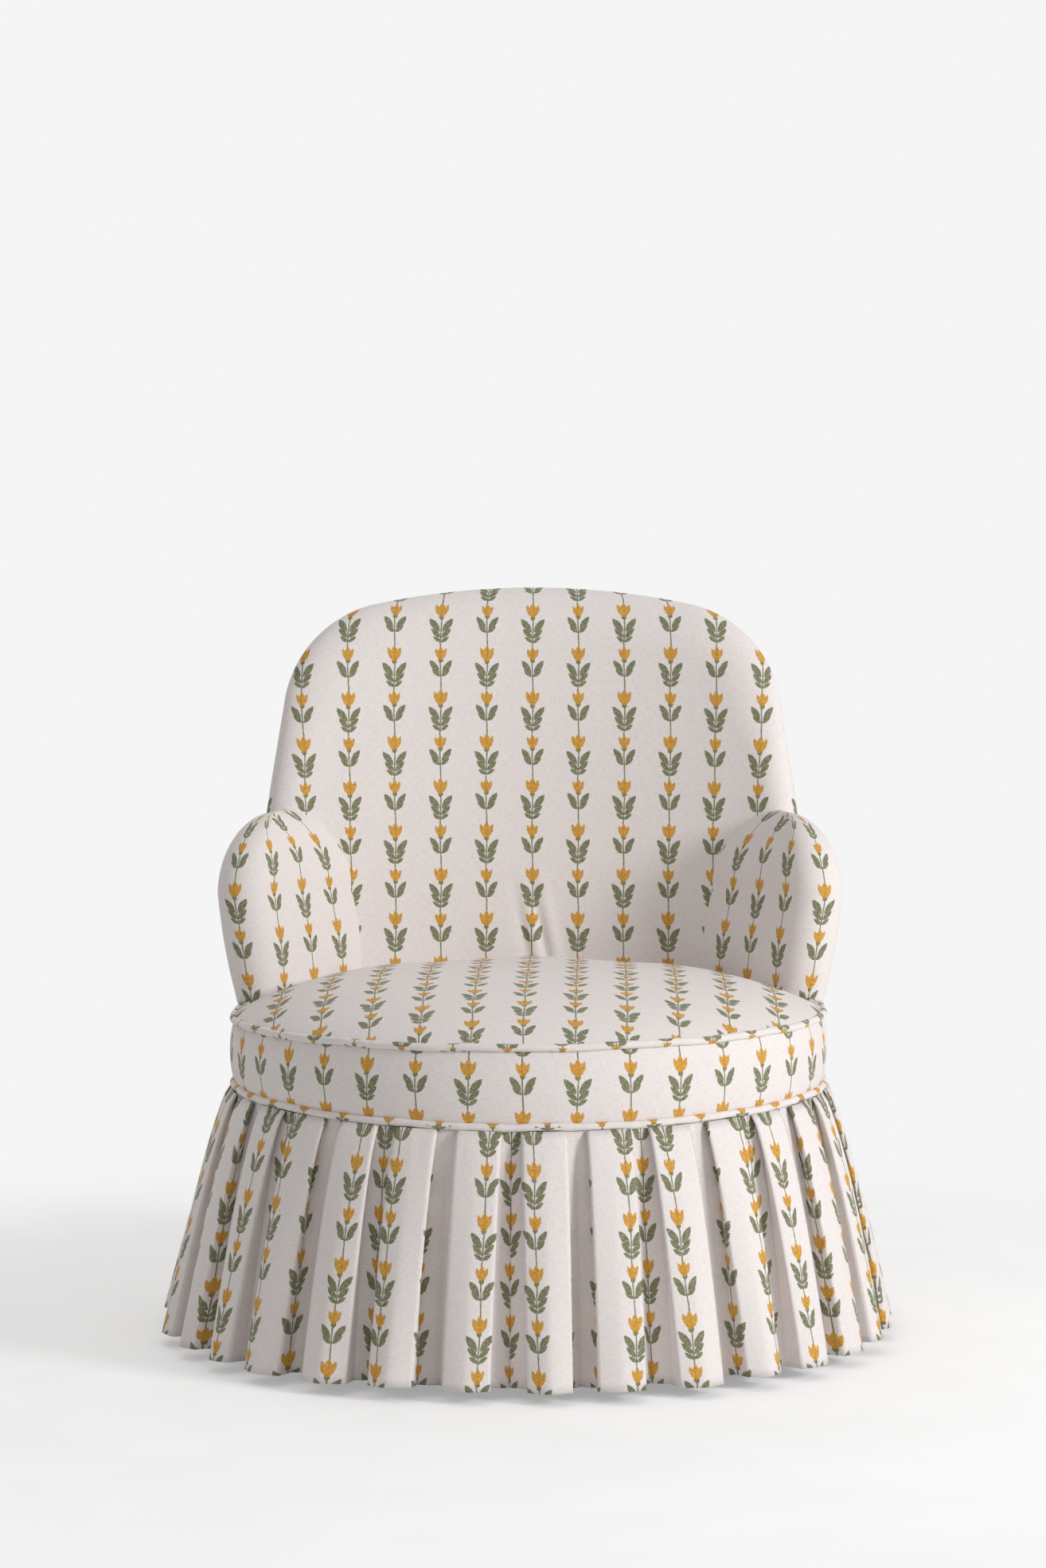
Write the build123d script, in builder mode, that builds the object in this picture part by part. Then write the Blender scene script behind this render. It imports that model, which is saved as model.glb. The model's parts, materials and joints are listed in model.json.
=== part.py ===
"""Skirted accent chair: a round fronted seat on four hidden legs, a padded back, two low winged arms and a
box pleated skirt. Millimetres, +Z up, front towards -Y, origin on the floor under the middle of the seat."""

import os
from math import acos, atan2, cos, degrees, hypot, pi, radians, sin, sqrt

from build123d import *

os.makedirs("parts", exist_ok=True)

# Seat plan: a half round front, straight sides, round rear corners and a shallow rear curve
SEAT_RADIUS = 345.0
SEAT_REAR = 345.0
REAR_CORNER_RADIUS = 150.0
REAR_CURVE_RADIUS = 620.0

# Heights above the floor
HEM_CLEARANCE = 12.0
LOWER_WELT_HEIGHT = 288.0
BORDER_HEIGHT = 83.0
BACK_HEIGHT = 862.0

# Fabric, padding and fits
COVER = 2.0
WADDING = 4.0
WELT_RADIUS = 4.5
WELT_CORD_RADIUS = 3.0
WELT_STAND_OUT = 0.5
LAYER_FIT = 0.1
SOFT_GAP = 0.3

# Seat crown
CROWN_RISE = 48.0
CROWN_RADIUS = 2000.0
SHOULDER_RUN = 26.0
SHOULDER_RISE = 30.0

# Plywood seat frame
PLY = 18.0
RING_WIDTH = 75.0
RING_BELOW_UPPER_WELT = 3.0
RING_BELOW_LOWER_WELT = 8.0
SPACER_LENGTH = 70.0
SPACER_WIDTH = 40.0
SPACER_COUNT = 8

# Back shape, seen from the front and from above, with insets from the side and rear of the seat
BACK_SIDE_INSET = 7.0
BACK_SHOULDER_RADIUS = 138.0
BACK_SHOULDER_INSET = 180.0
BACK_TOP_RADIUS = 945.0
BACK_THICKNESS = 105.0
BACK_INSIDE_RADIUS = 600.0
BACK_TOP_INSIDE_RADIUS = 740.0
BACK_RECLINE = 60.0
BACK_REAR_FLARE = 25.0
BACK_EDGE_RADIUS = 26.0

# Back frame, hardboard and webbing
BACK_WADDING = 5.0
HARDBOARD = 3.0
FRAME_THICKNESS = 24.0
FOAM_RIM = 40.0
CREST_RIM = 44.0
POST_INSET = 113.0
POST_WIDTH = 36.0
CREST_RAIL_DROP = 122.0
LOWER_RAIL_RISE = 32.0
LOWER_RAIL_HEIGHT = 45.0
BACK_STRAP_COUNT = 5
BACK_STRAP_SPACING = 60.0
BACK_STRAP_BEARING = 10.0
STRAP_WIDTH = 50.0
STRAP_THICKNESS = 2.0

# Arms: wings with a round nose, given from above at the base, at the shoulder and at the top, with insets from the
# side of the seat and rises from its base
ARM_REAR_INSET = 120.0
ARM_SHOULDER_RISE = 129.0
ARM_TOP_RISE = 222.5
BASE_NOSE_INSET = 28.5
BASE_NOSE_Y = 87.0
BASE_NOSE_RADIUS = 27.5
BASE_INSIDE_INSET = 155.0
BASE_OUTSIDE_INSET = 20.0
SHOULDER_NOSE_INSET = 9.0
SHOULDER_NOSE_Y = 88.0
SHOULDER_NOSE_RADIUS = 33.0
SHOULDER_INSIDE_INSET = 132.0
SHOULDER_OUTSIDE_INSET = 31.0
TOP_NOSE_INSET = 39.0
TOP_NOSE_Y = 138.0
TOP_NOSE_RADIUS = 7.0
TOP_INSIDE_INSET = 62.0
TOP_OUTSIDE_INSET = 48.0
ARM_INSIDE_FULLNESS = 1.72
ARM_NOSE_FULLNESS = 1.86
ARM_OUTSIDE_FULLNESS = 2.0
ARM_POST_INSET = 25.0
ARM_POST_WIDTH = 26.0
ARM_POST_FRONT_Y = 88.0
ARM_POST_LENGTH = 42.0
ARM_RAIL_RISE = 120.0
ARM_RAIL_HEIGHT = 40.0
ARM_RAIL_WIDTH = 22.0
ARM_RAIL_SHIFT = 3.0
OUTSIDE_ARM_RISE = 124.0
OUTSIDE_ARM_MARGIN = 25.0
SEAT_RIM_MARGIN = 7.0

# Seat webbing
SEAT_STRAP_COUNT = 5
SEAT_STRAP_MARGIN = 79.0
STRAP_STEP = 6.0

# Legs and their fixings
LEG_TOP = 46.0
LEG_FOOT = 30.0
LEG_EDGE_RADIUS = 4.0
LEG_PLATE = 62.0
LEG_PLATE_THICKNESS = 2.5
PLATE_SCREW_SPACING = 53.0
SCREW_RADIUS = 2.0
SCREW_HEAD_RADIUS = 4.0
SCREW_HEAD = 2.0
SCREW_LENGTH = 15.0
BOLT_RADIUS = 4.0
BOLT_IN_LEG = 40.0
BOLT_IN_RING = 12.0
GLIDE_RADIUS = 13.0
GLIDE = 5.0
GLIDE_NAIL_RADIUS = 1.5
GLIDE_NAIL = 16.0
DUST_COVER = 1.2
DUST_COVER_INSET = 22.0
DUST_COVER_GAP = 2.0

# Frame dowels and post screws
DOWEL_RADIUS = 4.0
DOWEL_LENGTH = 36.0
POST_SCREW_RADIUS = 2.5
POST_SCREW_LENGTH = 48.0
POST_SCREW_HEAD_RADIUS = 5.0
POST_SCREW_HEAD = 3.0

# Pleated skirt, offsets measured outwards from the seat plan
PLEAT_COUNT = 32
PANEL_AT_TOP = 46.0
PANEL_AT_HEM = 48.0
FLARE = 80.0
PLEAT_DEPTH_AT_TOP = 4.0
PLEAT_DEPTH_AT_HEM = 24.0
SKIRT_STAND_OUT = 1.5
SKIRT_CLOTH = 2.0
RETURN_SLANT = 2.0
PANEL_BULGE = 1.5
RECESS_BULGE = 0.4
TACK_STRIP = 1.5
TACK_STRIP_HEIGHT = 14.0

# Worked out plan geometry
CORNER_X = SEAT_RADIUS - REAR_CORNER_RADIUS
REAR_CENTRE_Y = SEAT_REAR - REAR_CURVE_RADIUS
CORNER_Y = REAR_CENTRE_Y + sqrt((REAR_CURVE_RADIUS - REAR_CORNER_RADIUS) ** 2 - CORNER_X**2)
CORNER_ANGLE = degrees(atan2(CORNER_Y - REAR_CENTRE_Y, CORNER_X))

# Worked out heights
UPPER_WELT_HEIGHT = LOWER_WELT_HEIGHT + BORDER_HEIGHT
SEAM_GAP = WELT_RADIUS + 2 * LAYER_FIT
BASE = UPPER_WELT_HEIGHT + SEAM_GAP
RING_INSET = COVER + WADDING + 2 * LAYER_FIT
UPPER_RING_TOP = UPPER_WELT_HEIGHT - RING_BELOW_UPPER_WELT
LOWER_RING_TOP = LOWER_WELT_HEIGHT - RING_BELOW_LOWER_WELT
LOWER_RING_BOTTOM = LOWER_RING_TOP - PLY
SKIRT_TOP = LOWER_WELT_HEIGHT - SEAM_GAP
PLATE_BOTTOM = LOWER_RING_BOTTOM - LEG_PLATE_THICKNESS
LEAN = BACK_REAR_FLARE / (BACK_HEIGHT - BASE)

# Worked out places of the back and the arms
BACK_HALF_WIDTH = SEAT_RADIUS - BACK_SIDE_INSET
BACK_SHOULDER_X = SEAT_RADIUS - BACK_SHOULDER_INSET
BACK_FRONT_Y = SEAT_REAR - BACK_THICKNESS
POST_X = SEAT_RADIUS - POST_INSET
CREST_RAIL_BOTTOM = BACK_HEIGHT - CREST_RAIL_DROP
LOWER_RAIL_BOTTOM = UPPER_RING_TOP + LOWER_RAIL_RISE
ARM_REAR_Y = SEAT_REAR - ARM_REAR_INSET
BASE_NOSE_X = SEAT_RADIUS - BASE_NOSE_INSET
SHOULDER_NOSE_X = SEAT_RADIUS - SHOULDER_NOSE_INSET
TOP_NOSE_X = SEAT_RADIUS - TOP_NOSE_INSET
ARM_SHOULDER = BASE + ARM_SHOULDER_RISE
ARM_DOME_RISE = ARM_TOP_RISE - ARM_SHOULDER_RISE
ARM_POST_X = SEAT_RADIUS - ARM_POST_INSET
ARM_RAIL_BOTTOM = BASE + ARM_RAIL_RISE

# Layers of the back, as insets from the rear face
WADDING_INSET = COVER + LAYER_FIT
HARDBOARD_INSET = WADDING_INSET + BACK_WADDING + LAYER_FIT
FRAME_INSET = HARDBOARD_INSET + HARDBOARD + LAYER_FIT
STRAP_INSET = FRAME_INSET + FRAME_THICKNESS + LAYER_FIT
CAVITY_INSET = STRAP_INSET + STRAP_THICKNESS + LAYER_FIT
CUT_MARGIN = 20.0


def plan_edges(inset):
    """Edges of the seat plan, moved inwards by inset."""
    half = SEAT_RADIUS - inset
    corner = REAR_CORNER_RADIUS - inset
    with BuildLine(mode=Mode.PRIVATE) as outline:
        CenterArc((0, 0), half, 180, 180)
        Line((half, 0), (half, CORNER_Y))
        CenterArc((CORNER_X, CORNER_Y), corner, 0, CORNER_ANGLE)
        CenterArc((0, REAR_CENTRE_Y), REAR_CURVE_RADIUS - inset, CORNER_ANGLE, 180 - 2 * CORNER_ANGLE)
        CenterArc((-CORNER_X, CORNER_Y), corner, 180 - CORNER_ANGLE, CORNER_ANGLE)
        Line((-half, CORNER_Y), (-half, 0))
    return outline.edges()


def plan_rear_y(inset, x):
    """Where a line at x meets the rear of the seat plan."""
    side = abs(x)
    if side <= CORNER_X + (REAR_CORNER_RADIUS - inset) * cos(radians(CORNER_ANGLE)):
        return REAR_CENTRE_Y + sqrt((REAR_CURVE_RADIUS - inset) ** 2 - side**2)
    return CORNER_Y + sqrt((REAR_CORNER_RADIUS - inset) ** 2 - (side - CORNER_X) ** 2)


def plan_front_y(inset, x):
    """Where a line at x meets the round front of the seat plan."""
    return -sqrt((SEAT_RADIUS - inset) ** 2 - x**2)


def plan_half_width(inset, y):
    """Half the width of the seat plan at y."""
    if y <= 0:
        return sqrt((SEAT_RADIUS - inset) ** 2 - y**2)
    if y <= CORNER_Y:
        return SEAT_RADIUS - inset
    return CORNER_X + sqrt((REAR_CORNER_RADIUS - inset) ** 2 - (y - CORNER_Y) ** 2)


def lean_at(height):
    """How far the rear face has leaned outwards at a height."""
    return LEAN * (height - BASE)


def plan_ring(inset, width, bottom, height):
    """A flat ring that follows the seat plan."""
    with BuildPart(mode=Mode.PRIVATE) as ring:
        with BuildSketch(Plane.XY.offset(bottom)):
            make_face(plan_edges(inset))
            make_face(plan_edges(inset + width), mode=Mode.SUBTRACT)
        extrude(amount=height)
    return ring.part


def leaning_tower(inset, bottom, top):
    """The seat plan raised from bottom to top, leaning outwards like the rear of the back."""
    with BuildPart(mode=Mode.PRIVATE) as tower:
        for height in (bottom, top):
            with BuildSketch(Plane.XY.offset(height)):
                make_face(plan_edges(inset - lean_at(height)))
        loft(ruled=True)
    return tower.part


def leaning_shell(inset, thickness, bottom, top):
    """A leaning wall that follows the seat plan."""
    with BuildPart(mode=Mode.PRIVATE) as shell:
        add(leaning_tower(inset, bottom, top))
        add(leaning_tower(inset + thickness, bottom, top), mode=Mode.SUBTRACT)
    return shell.part


def tangent_angle(point, centre, radius, side):
    """Angle of the point on a circle where a line from point touches it, on one side."""
    dx, dz = point[0] - centre[0], point[1] - centre[1]
    return degrees(atan2(dz, dx) + side * acos(radius / hypot(dx, dz)))


def on_circle(centre, radius, angle):
    """A point on a circle, by its angle in degrees."""
    return (centre[0] + radius * cos(radians(angle)), centre[1] + radius * sin(radians(angle)))


def back_outline(inset):
    """Edges of the back seen from the front: leaning sides, round shoulders and a shallow top."""
    top_centre = BACK_HEIGHT - BACK_TOP_RADIUS
    reach = BACK_TOP_RADIUS - BACK_SHOULDER_RADIUS
    centre = (BACK_SHOULDER_X, top_centre + sqrt(reach**2 - BACK_SHOULDER_X**2))
    shoulder_end = degrees(atan2(centre[1] - top_centre, BACK_SHOULDER_X))
    side_angle = tangent_angle((BACK_HALF_WIDTH, BASE), centre, BACK_SHOULDER_RADIUS, 1)
    radius = BACK_SHOULDER_RADIUS - inset
    x, z = on_circle(centre, radius, side_angle)
    low = BASE - CUT_MARGIN
    low_x = x + (z - low) * sin(radians(side_angle)) / cos(radians(side_angle))
    sweep_angle = shoulder_end - side_angle
    with BuildLine(mode=Mode.PRIVATE) as outline:
        Line((-low_x, low), (low_x, low))
        Line((low_x, low), (x, z))
        CenterArc(centre, radius, side_angle, sweep_angle)
        CenterArc((0, top_centre), BACK_TOP_RADIUS - inset, shoulder_end, 180 - 2 * shoulder_end)
        CenterArc((-centre[0], centre[1]), radius, 180 - shoulder_end, sweep_angle)
        Line((-x, z), (-low_x, low))
    return outline.edges()


def back_block(inset):
    """The back's outline carried right through the chair from front to rear."""
    with BuildPart(mode=Mode.PRIVATE) as block:
        with BuildSketch(Plane.XZ):
            make_face(back_outline(inset))
        extrude(amount=SEAT_RADIUS + SEAT_REAR, both=True)
    return block.part


def sitting_space(inset):
    """The hollow that the inside of the back is scooped from, reclining and widening as it rises."""
    with BuildPart(mode=Mode.PRIVATE) as space:
        for height in (BASE - CUT_MARGIN, BACK_HEIGHT + CUT_MARGIN):
            rise = (height - BASE) / (BACK_HEIGHT - BASE)
            radius = BACK_INSIDE_RADIUS + (BACK_TOP_INSIDE_RADIUS - BACK_INSIDE_RADIUS) * rise
            with BuildSketch(Plane.XY.offset(height)):
                with Locations((0, BACK_FRONT_Y + BACK_RECLINE * rise - radius)):
                    Circle(radius + inset)
        loft(ruled=True)
    return space.part


def back_form(inset):
    """The whole upholstered back, with soft edges, taken in by inset all round."""
    with BuildPart(mode=Mode.PRIVATE) as form:
        add(leaning_tower(inset, BASE, BACK_HEIGHT + CUT_MARGIN))
        add(sitting_space(inset), mode=Mode.SUBTRACT)
        add(back_block(inset), mode=Mode.INTERSECT)
        rim_faces = form.faces().filter_by(lambda face: abs(face.normal_at().Y) < 1e-6)
        rim = rim_faces.edges().filter_by(Axis.Y, reverse=True)
        fillet(rim.filter_by(lambda edge: edge.center().Z > BASE + LAYER_FIT), BACK_EDGE_RADIUS - inset)
    return form.part


def arm_plan(inside_inset, outside_inset, nose, radius, inset):
    """Edges of the right arm seen from above: a rear end and two sides that run into a round nose."""
    rear_y = ARM_REAR_Y + inset
    inside = (SEAT_RADIUS - inside_inset + inset, rear_y)
    outside = (SEAT_RADIUS - outside_inset - inset, rear_y)
    rounded = radius - inset
    start = tangent_angle(inside, nose, rounded, 1)
    end = tangent_angle(outside, nose, rounded, -1) + 360
    with BuildLine(mode=Mode.PRIVATE) as plan:
        Line(outside, inside)
        Line(inside, on_circle(nose, rounded, start))
        CenterArc(nose, rounded, start, 270 - start)
        CenterArc(nose, rounded, 270, end - 270)
        Line(on_circle(nose, rounded, end), outside)
    return plan.edges()


def between(top, shoulder, rise, fullness):
    """A size of the arm at a share of the rise from its shoulder to its top, on a full curve."""
    return top + (shoulder - top) * (1 - rise**fullness) ** (1 / fullness)


def arm_dome_plan(turn, inset):
    """Edges of the right arm seen from above on its round top, by the turn of its curve in degrees."""
    rise = sin(radians(turn))
    nose_x = between(TOP_NOSE_X, SHOULDER_NOSE_X, rise, ARM_NOSE_FULLNESS)
    nose_y = between(TOP_NOSE_Y, SHOULDER_NOSE_Y, rise, ARM_NOSE_FULLNESS)
    radius = between(TOP_NOSE_RADIUS, SHOULDER_NOSE_RADIUS, rise, ARM_NOSE_FULLNESS)
    inside_inset = between(TOP_INSIDE_INSET, SHOULDER_INSIDE_INSET, rise, ARM_INSIDE_FULLNESS)
    outside_inset = between(TOP_OUTSIDE_INSET, SHOULDER_OUTSIDE_INSET, rise, ARM_OUTSIDE_FULLNESS)
    return arm_plan(inside_inset, outside_inset, (nose_x, nose_y), radius, inset)


def arm_form(inset):
    """The right arm, from its round nose to inside the back."""
    with BuildPart(mode=Mode.PRIVATE) as form:
        with BuildSketch(Plane.XY.offset(BASE)):
            nose = (BASE_NOSE_X, BASE_NOSE_Y)
            make_face(arm_plan(BASE_INSIDE_INSET, BASE_OUTSIDE_INSET, nose, BASE_NOSE_RADIUS, inset))
        with BuildSketch(Plane.XY.offset(ARM_SHOULDER)):
            make_face(arm_dome_plan(0, inset))
        loft(ruled=True)
        for turn in (0, 25, 50, 70, 90):
            rise = (ARM_DOME_RISE - inset) * sin(radians(turn))
            with BuildSketch(Plane.XY.offset(ARM_SHOULDER + rise)):
                make_face(arm_dome_plan(turn, inset))
        loft()
    return form.part


def seat_form(inset):
    """The crowned seat pad, taken in by inset all round."""
    with BuildPart(mode=Mode.PRIVATE) as form:
        for angle in (0, 30, 60, 85):
            run = SHOULDER_RUN * (1 - cos(radians(angle)))
            rise = SHOULDER_RISE * sin(radians(angle))
            with BuildSketch(Plane.XY.offset(BASE + rise)):
                make_face(plan_edges(inset + run))
        loft()
        extrude(form.faces().sort_by(Axis.Z)[-1], amount=CROWN_RISE)
        with Locations((0, 0, BASE + CROWN_RISE - CROWN_RADIUS)):
            Sphere(CROWN_RADIUS - inset, mode=Mode.INTERSECT)
    return form.part


def rail_plan(front_x, front_y, rear_x, rear_y, width):
    """Corners of a straight rail seen from above."""
    half = width / 2
    return [(front_x - half, front_y), (front_x + half, front_y), (rear_x + half, rear_y), (rear_x - half, rear_y)]


def plan_point(offset, share, stand_out):
    """A point round the seat plan and its outward angle, by share of the way round from the middle of the front.

    The plan is moved outwards by offset, and the point stands out from it."""
    front, corner, rear = SEAT_RADIUS + offset, REAR_CORNER_RADIUS + offset, REAR_CURVE_RADIUS + offset
    turn = radians(CORNER_ANGLE)
    straight_start = front * pi / 2
    corner_start = straight_start + CORNER_Y
    rear_start = corner_start + corner * turn
    half = rear_start + rear * (pi / 2 - turn)
    along = (share % 1) * 2 * half
    side = 1 if along <= half else -1
    along = min(along, 2 * half - along)
    if along <= straight_start:
        centre, radius, angle = (0, 0), front, along / front - pi / 2
    elif along <= corner_start:
        centre, radius, angle = (0, along - straight_start), front, 0
    elif along <= rear_start:
        centre, radius, angle = (CORNER_X, CORNER_Y), corner, (along - corner_start) / corner
    else:
        centre, radius, angle = (0, REAR_CENTRE_Y), rear, turn + (along - rear_start) / rear
    x = side * (centre[0] + (radius + stand_out) * cos(angle))
    y = centre[1] + (radius + stand_out) * sin(angle)
    return x, y, degrees(atan2(sin(angle), side * cos(angle)))


def pleat_edges(offset, depth, panel, inset):
    """Edges of the pleated skirt cut level: panels standing out, with recesses set back between them."""
    pitch = 1 / PLEAT_COUNT
    length = Wire(plan_edges(-offset)).length
    half_panel = (panel / 2 - inset) / length
    half_recess = pitch / 2 - half_panel - RETURN_SLANT / length
    out, back = depth / 2 - inset, -depth / 2 - inset
    with BuildLine(mode=Mode.PRIVATE) as outline:
        for number in range(PLEAT_COUNT):
            centre = (number + PANEL_AT_TOP / 2 * PLEAT_COUNT / length) * pitch
            hollow = centre + pitch / 2
            panel_start = plan_point(offset, centre - half_panel, out)[:2]
            panel_middle = plan_point(offset, centre, out + PANEL_BULGE)[:2]
            panel_end = plan_point(offset, centre + half_panel, out)[:2]
            recess_start = plan_point(offset, hollow - half_recess, back)[:2]
            recess_middle = plan_point(offset, hollow, back + RECESS_BULGE)[:2]
            recess_end = plan_point(offset, hollow + half_recess, back)[:2]
            next_panel = plan_point(offset, centre + pitch - half_panel, out)[:2]
            ThreePointArc(panel_start, panel_middle, panel_end)
            Line(panel_end, recess_start)
            ThreePointArc(recess_start, recess_middle, recess_end)
            Line(recess_end, next_panel)
    return outline.edges()


def skirt_form(inset):
    """The skirt as a solid bell, taken in by inset."""
    top_offset = SKIRT_STAND_OUT - PLEAT_DEPTH_AT_TOP / 2
    hem_offset = FLARE - PLEAT_DEPTH_AT_HEM / 2
    with BuildPart(mode=Mode.PRIVATE) as form:
        with BuildSketch(Plane.XY.offset(SKIRT_TOP)):
            make_face(pleat_edges(top_offset, PLEAT_DEPTH_AT_TOP, PANEL_AT_TOP, inset))
        with BuildSketch(Plane.XY.offset(HEM_CLEARANCE)):
            make_face(pleat_edges(hem_offset, PLEAT_DEPTH_AT_HEM, PANEL_AT_HEM, inset))
        loft(ruled=True)
    return form.part


def welt_rope(height, radius):
    """A round rope that follows the edge of the seat plan."""
    with BuildPart(mode=Mode.PRIVATE) as rope:
        for edge in plan_edges(-WELT_STAND_OUT):
            path = edge.moved(Location((0, 0, height)))
            with BuildSketch(Plane(origin=path @ 0, z_dir=path % 0)):
                Circle(radius)
            sweep(path=path)
    return rope.part


# Where the legs stand: on the middle line of the seat ring
RING_MIDDLE = RING_INSET + RING_WIDTH / 2
FRONT_LEG = on_circle((0, 0), SEAT_RADIUS - RING_MIDDLE, -45)
REAR_LEG = on_circle((CORNER_X, CORNER_Y), REAR_CORNER_RADIUS - RING_MIDDLE, CORNER_ANGLE / 2)
LEG_SPOTS = {
    "front_left": (-FRONT_LEG[0], FRONT_LEG[1], 45),
    "front_right": (FRONT_LEG[0], FRONT_LEG[1], -45),
    "rear_left": (-REAR_LEG[0], REAR_LEG[1], -CORNER_ANGLE / 2),
    "rear_right": (REAR_LEG[0], REAR_LEG[1], CORNER_ANGLE / 2),
}
PLATE_CORNERS = [(sx * PLATE_SCREW_SPACING / 2, sy * PLATE_SCREW_SPACING / 2) for sx in (-1, 1) for sy in (-1, 1)]


def leg_places(height):
    """A place at each leg, turned with the leg, at one height."""
    return [Location((x, y, height), (0, 0, turn)) for x, y, turn in LEG_SPOTS.values()]


def plate_screw_places(height):
    """A place for each screw of the leg plates, at one height."""
    return [place * Location((x, y, 0)) for place in leg_places(height) for x, y in PLATE_CORNERS]


# Legs, tapering to the floor
for corner, (spot_x, spot_y, turn) in LEG_SPOTS.items():
    with BuildPart() as leg:
        for height, width in ((GLIDE, LEG_FOOT), (PLATE_BOTTOM, LEG_TOP)):
            across = (cos(radians(turn)), sin(radians(turn)), 0)
            with BuildSketch(Plane(origin=(spot_x, spot_y, height), x_dir=across, z_dir=(0, 0, 1))):
                RectangleRounded(width, width, LEG_EDGE_RADIUS)
        loft(ruled=True)
        with Locations((spot_x, spot_y, PLATE_BOTTOM - BOLT_IN_LEG / 2)):
            Cylinder(BOLT_RADIUS, BOLT_IN_LEG, mode=Mode.SUBTRACT)
        with Locations((spot_x, spot_y, GLIDE + GLIDE_NAIL / 2)):
            Cylinder(GLIDE_NAIL_RADIUS, GLIDE_NAIL, mode=Mode.SUBTRACT)
    leg.part.label = f"leg_{corner}"
    export_step(leg.part, f"parts/leg_{corner}.step")

# Nail-on glides under the legs
with BuildPart() as foot_glides:
    with Locations(*leg_places(GLIDE / 2)):
        Cylinder(GLIDE_RADIUS, GLIDE)
    with Locations(*leg_places(GLIDE + GLIDE_NAIL / 2)):
        Cylinder(GLIDE_NAIL_RADIUS, GLIDE_NAIL)
foot_glides.part.label = "foot_glides"
export_step(foot_glides.part, "parts/foot_glides.step")

# Steel plates that the legs screw into
with BuildPart() as leg_plates:
    with Locations(*leg_places(PLATE_BOTTOM + LEG_PLATE_THICKNESS / 2)):
        Box(LEG_PLATE, LEG_PLATE, LEG_PLATE_THICKNESS)
        Cylinder(BOLT_RADIUS, LEG_PLATE_THICKNESS, mode=Mode.SUBTRACT)
    with Locations(*plate_screw_places(PLATE_BOTTOM + LEG_PLATE_THICKNESS / 2)):
        Cylinder(SCREW_RADIUS, LEG_PLATE_THICKNESS, mode=Mode.SUBTRACT)
leg_plates.part.label = "leg_plates"
export_step(leg_plates.part, "parts/leg_plates.step")

with BuildPart() as hanger_bolts:
    with Locations(*leg_places(PLATE_BOTTOM - BOLT_IN_LEG)):
        bolt_length = BOLT_IN_LEG + LEG_PLATE_THICKNESS + BOLT_IN_RING
        Cylinder(BOLT_RADIUS, bolt_length, align=(Align.CENTER, Align.CENTER, Align.MIN))
hanger_bolts.part.label = "hanger_bolts"
export_step(hanger_bolts.part, "parts/hanger_bolts.step")

with BuildPart() as leg_plate_screws:
    with Locations(*plate_screw_places(PLATE_BOTTOM)):
        Cylinder(SCREW_RADIUS, SCREW_LENGTH, align=(Align.CENTER, Align.CENTER, Align.MIN))
        Cylinder(SCREW_HEAD_RADIUS, SCREW_HEAD, align=(Align.CENTER, Align.CENTER, Align.MAX))
leg_plate_screws.part.label = "leg_plate_screws"
export_step(leg_plate_screws.part, "parts/leg_plate_screws.step")

# Lower plywood ring, drilled for the bolts and screws
with BuildPart() as lower_seat_ring:
    add(plan_ring(RING_INSET, RING_WIDTH, LOWER_RING_BOTTOM, PLY))
    with Locations(*leg_places(LOWER_RING_BOTTOM)):
        Cylinder(BOLT_RADIUS, BOLT_IN_RING, align=(Align.CENTER, Align.CENTER, Align.MIN), mode=Mode.SUBTRACT)
    with Locations(*plate_screw_places(PLATE_BOTTOM)):
        Cylinder(SCREW_RADIUS, SCREW_LENGTH, align=(Align.CENTER, Align.CENTER, Align.MIN), mode=Mode.SUBTRACT)
lower_seat_ring.part.label = "lower_seat_ring"
export_step(lower_seat_ring.part, "parts/lower_seat_ring.step")

# Posts of the back and arms, and the screws that hold them to the upper ring
FRAME_MIDDLE = FRAME_INSET + FRAME_THICKNESS / 2
BACK_POST_FOOT_Y = plan_rear_y(FRAME_MIDDLE - lean_at(UPPER_RING_TOP), POST_X)
ARM_POST_MIDDLE_Y = ARM_POST_FRONT_Y + ARM_POST_LENGTH / 2
POST_SPOTS = [(side * POST_X, BACK_POST_FOOT_Y) for side in (-1, 1)]
POST_SPOTS += [(side * ARM_POST_X, ARM_POST_MIDDLE_Y) for side in (-1, 1)]
UPPER_RING_BOTTOM = UPPER_RING_TOP - PLY

with BuildPart() as post_screws:
    with Locations(*[(x, y, UPPER_RING_BOTTOM) for x, y in POST_SPOTS]):
        Cylinder(POST_SCREW_RADIUS, POST_SCREW_LENGTH, align=(Align.CENTER, Align.CENTER, Align.MIN))
        Cylinder(POST_SCREW_HEAD_RADIUS, POST_SCREW_HEAD, align=(Align.CENTER, Align.CENTER, Align.MAX))
post_screws.part.label = "post_screws"
export_step(post_screws.part, "parts/post_screws.step")

with BuildPart() as upper_seat_ring:
    add(plan_ring(RING_INSET, RING_WIDTH, UPPER_RING_BOTTOM, PLY))
    add(post_screws.part, mode=Mode.SUBTRACT)
upper_seat_ring.part.label = "upper_seat_ring"
export_step(upper_seat_ring.part, "parts/upper_seat_ring.step")

# Blocks that hold the two rings apart
with BuildPart() as ring_spacer_blocks:
    for number in range(SPACER_COUNT):
        block_x, block_y, outward = plan_point(-RING_MIDDLE, (number + 0.5) / SPACER_COUNT, 0)
        with Locations(Location((block_x, block_y, LOWER_RING_TOP), (0, 0, outward))):
            gap = UPPER_RING_BOTTOM - LOWER_RING_TOP
            Box(SPACER_WIDTH, SPACER_LENGTH, gap, align=(Align.CENTER, Align.CENTER, Align.MIN))
    add(post_screws.part, mode=Mode.SUBTRACT)
ring_spacer_blocks.part.label = "ring_spacer_blocks"
export_step(ring_spacer_blocks.part, "parts/ring_spacer_blocks.step")

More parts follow.
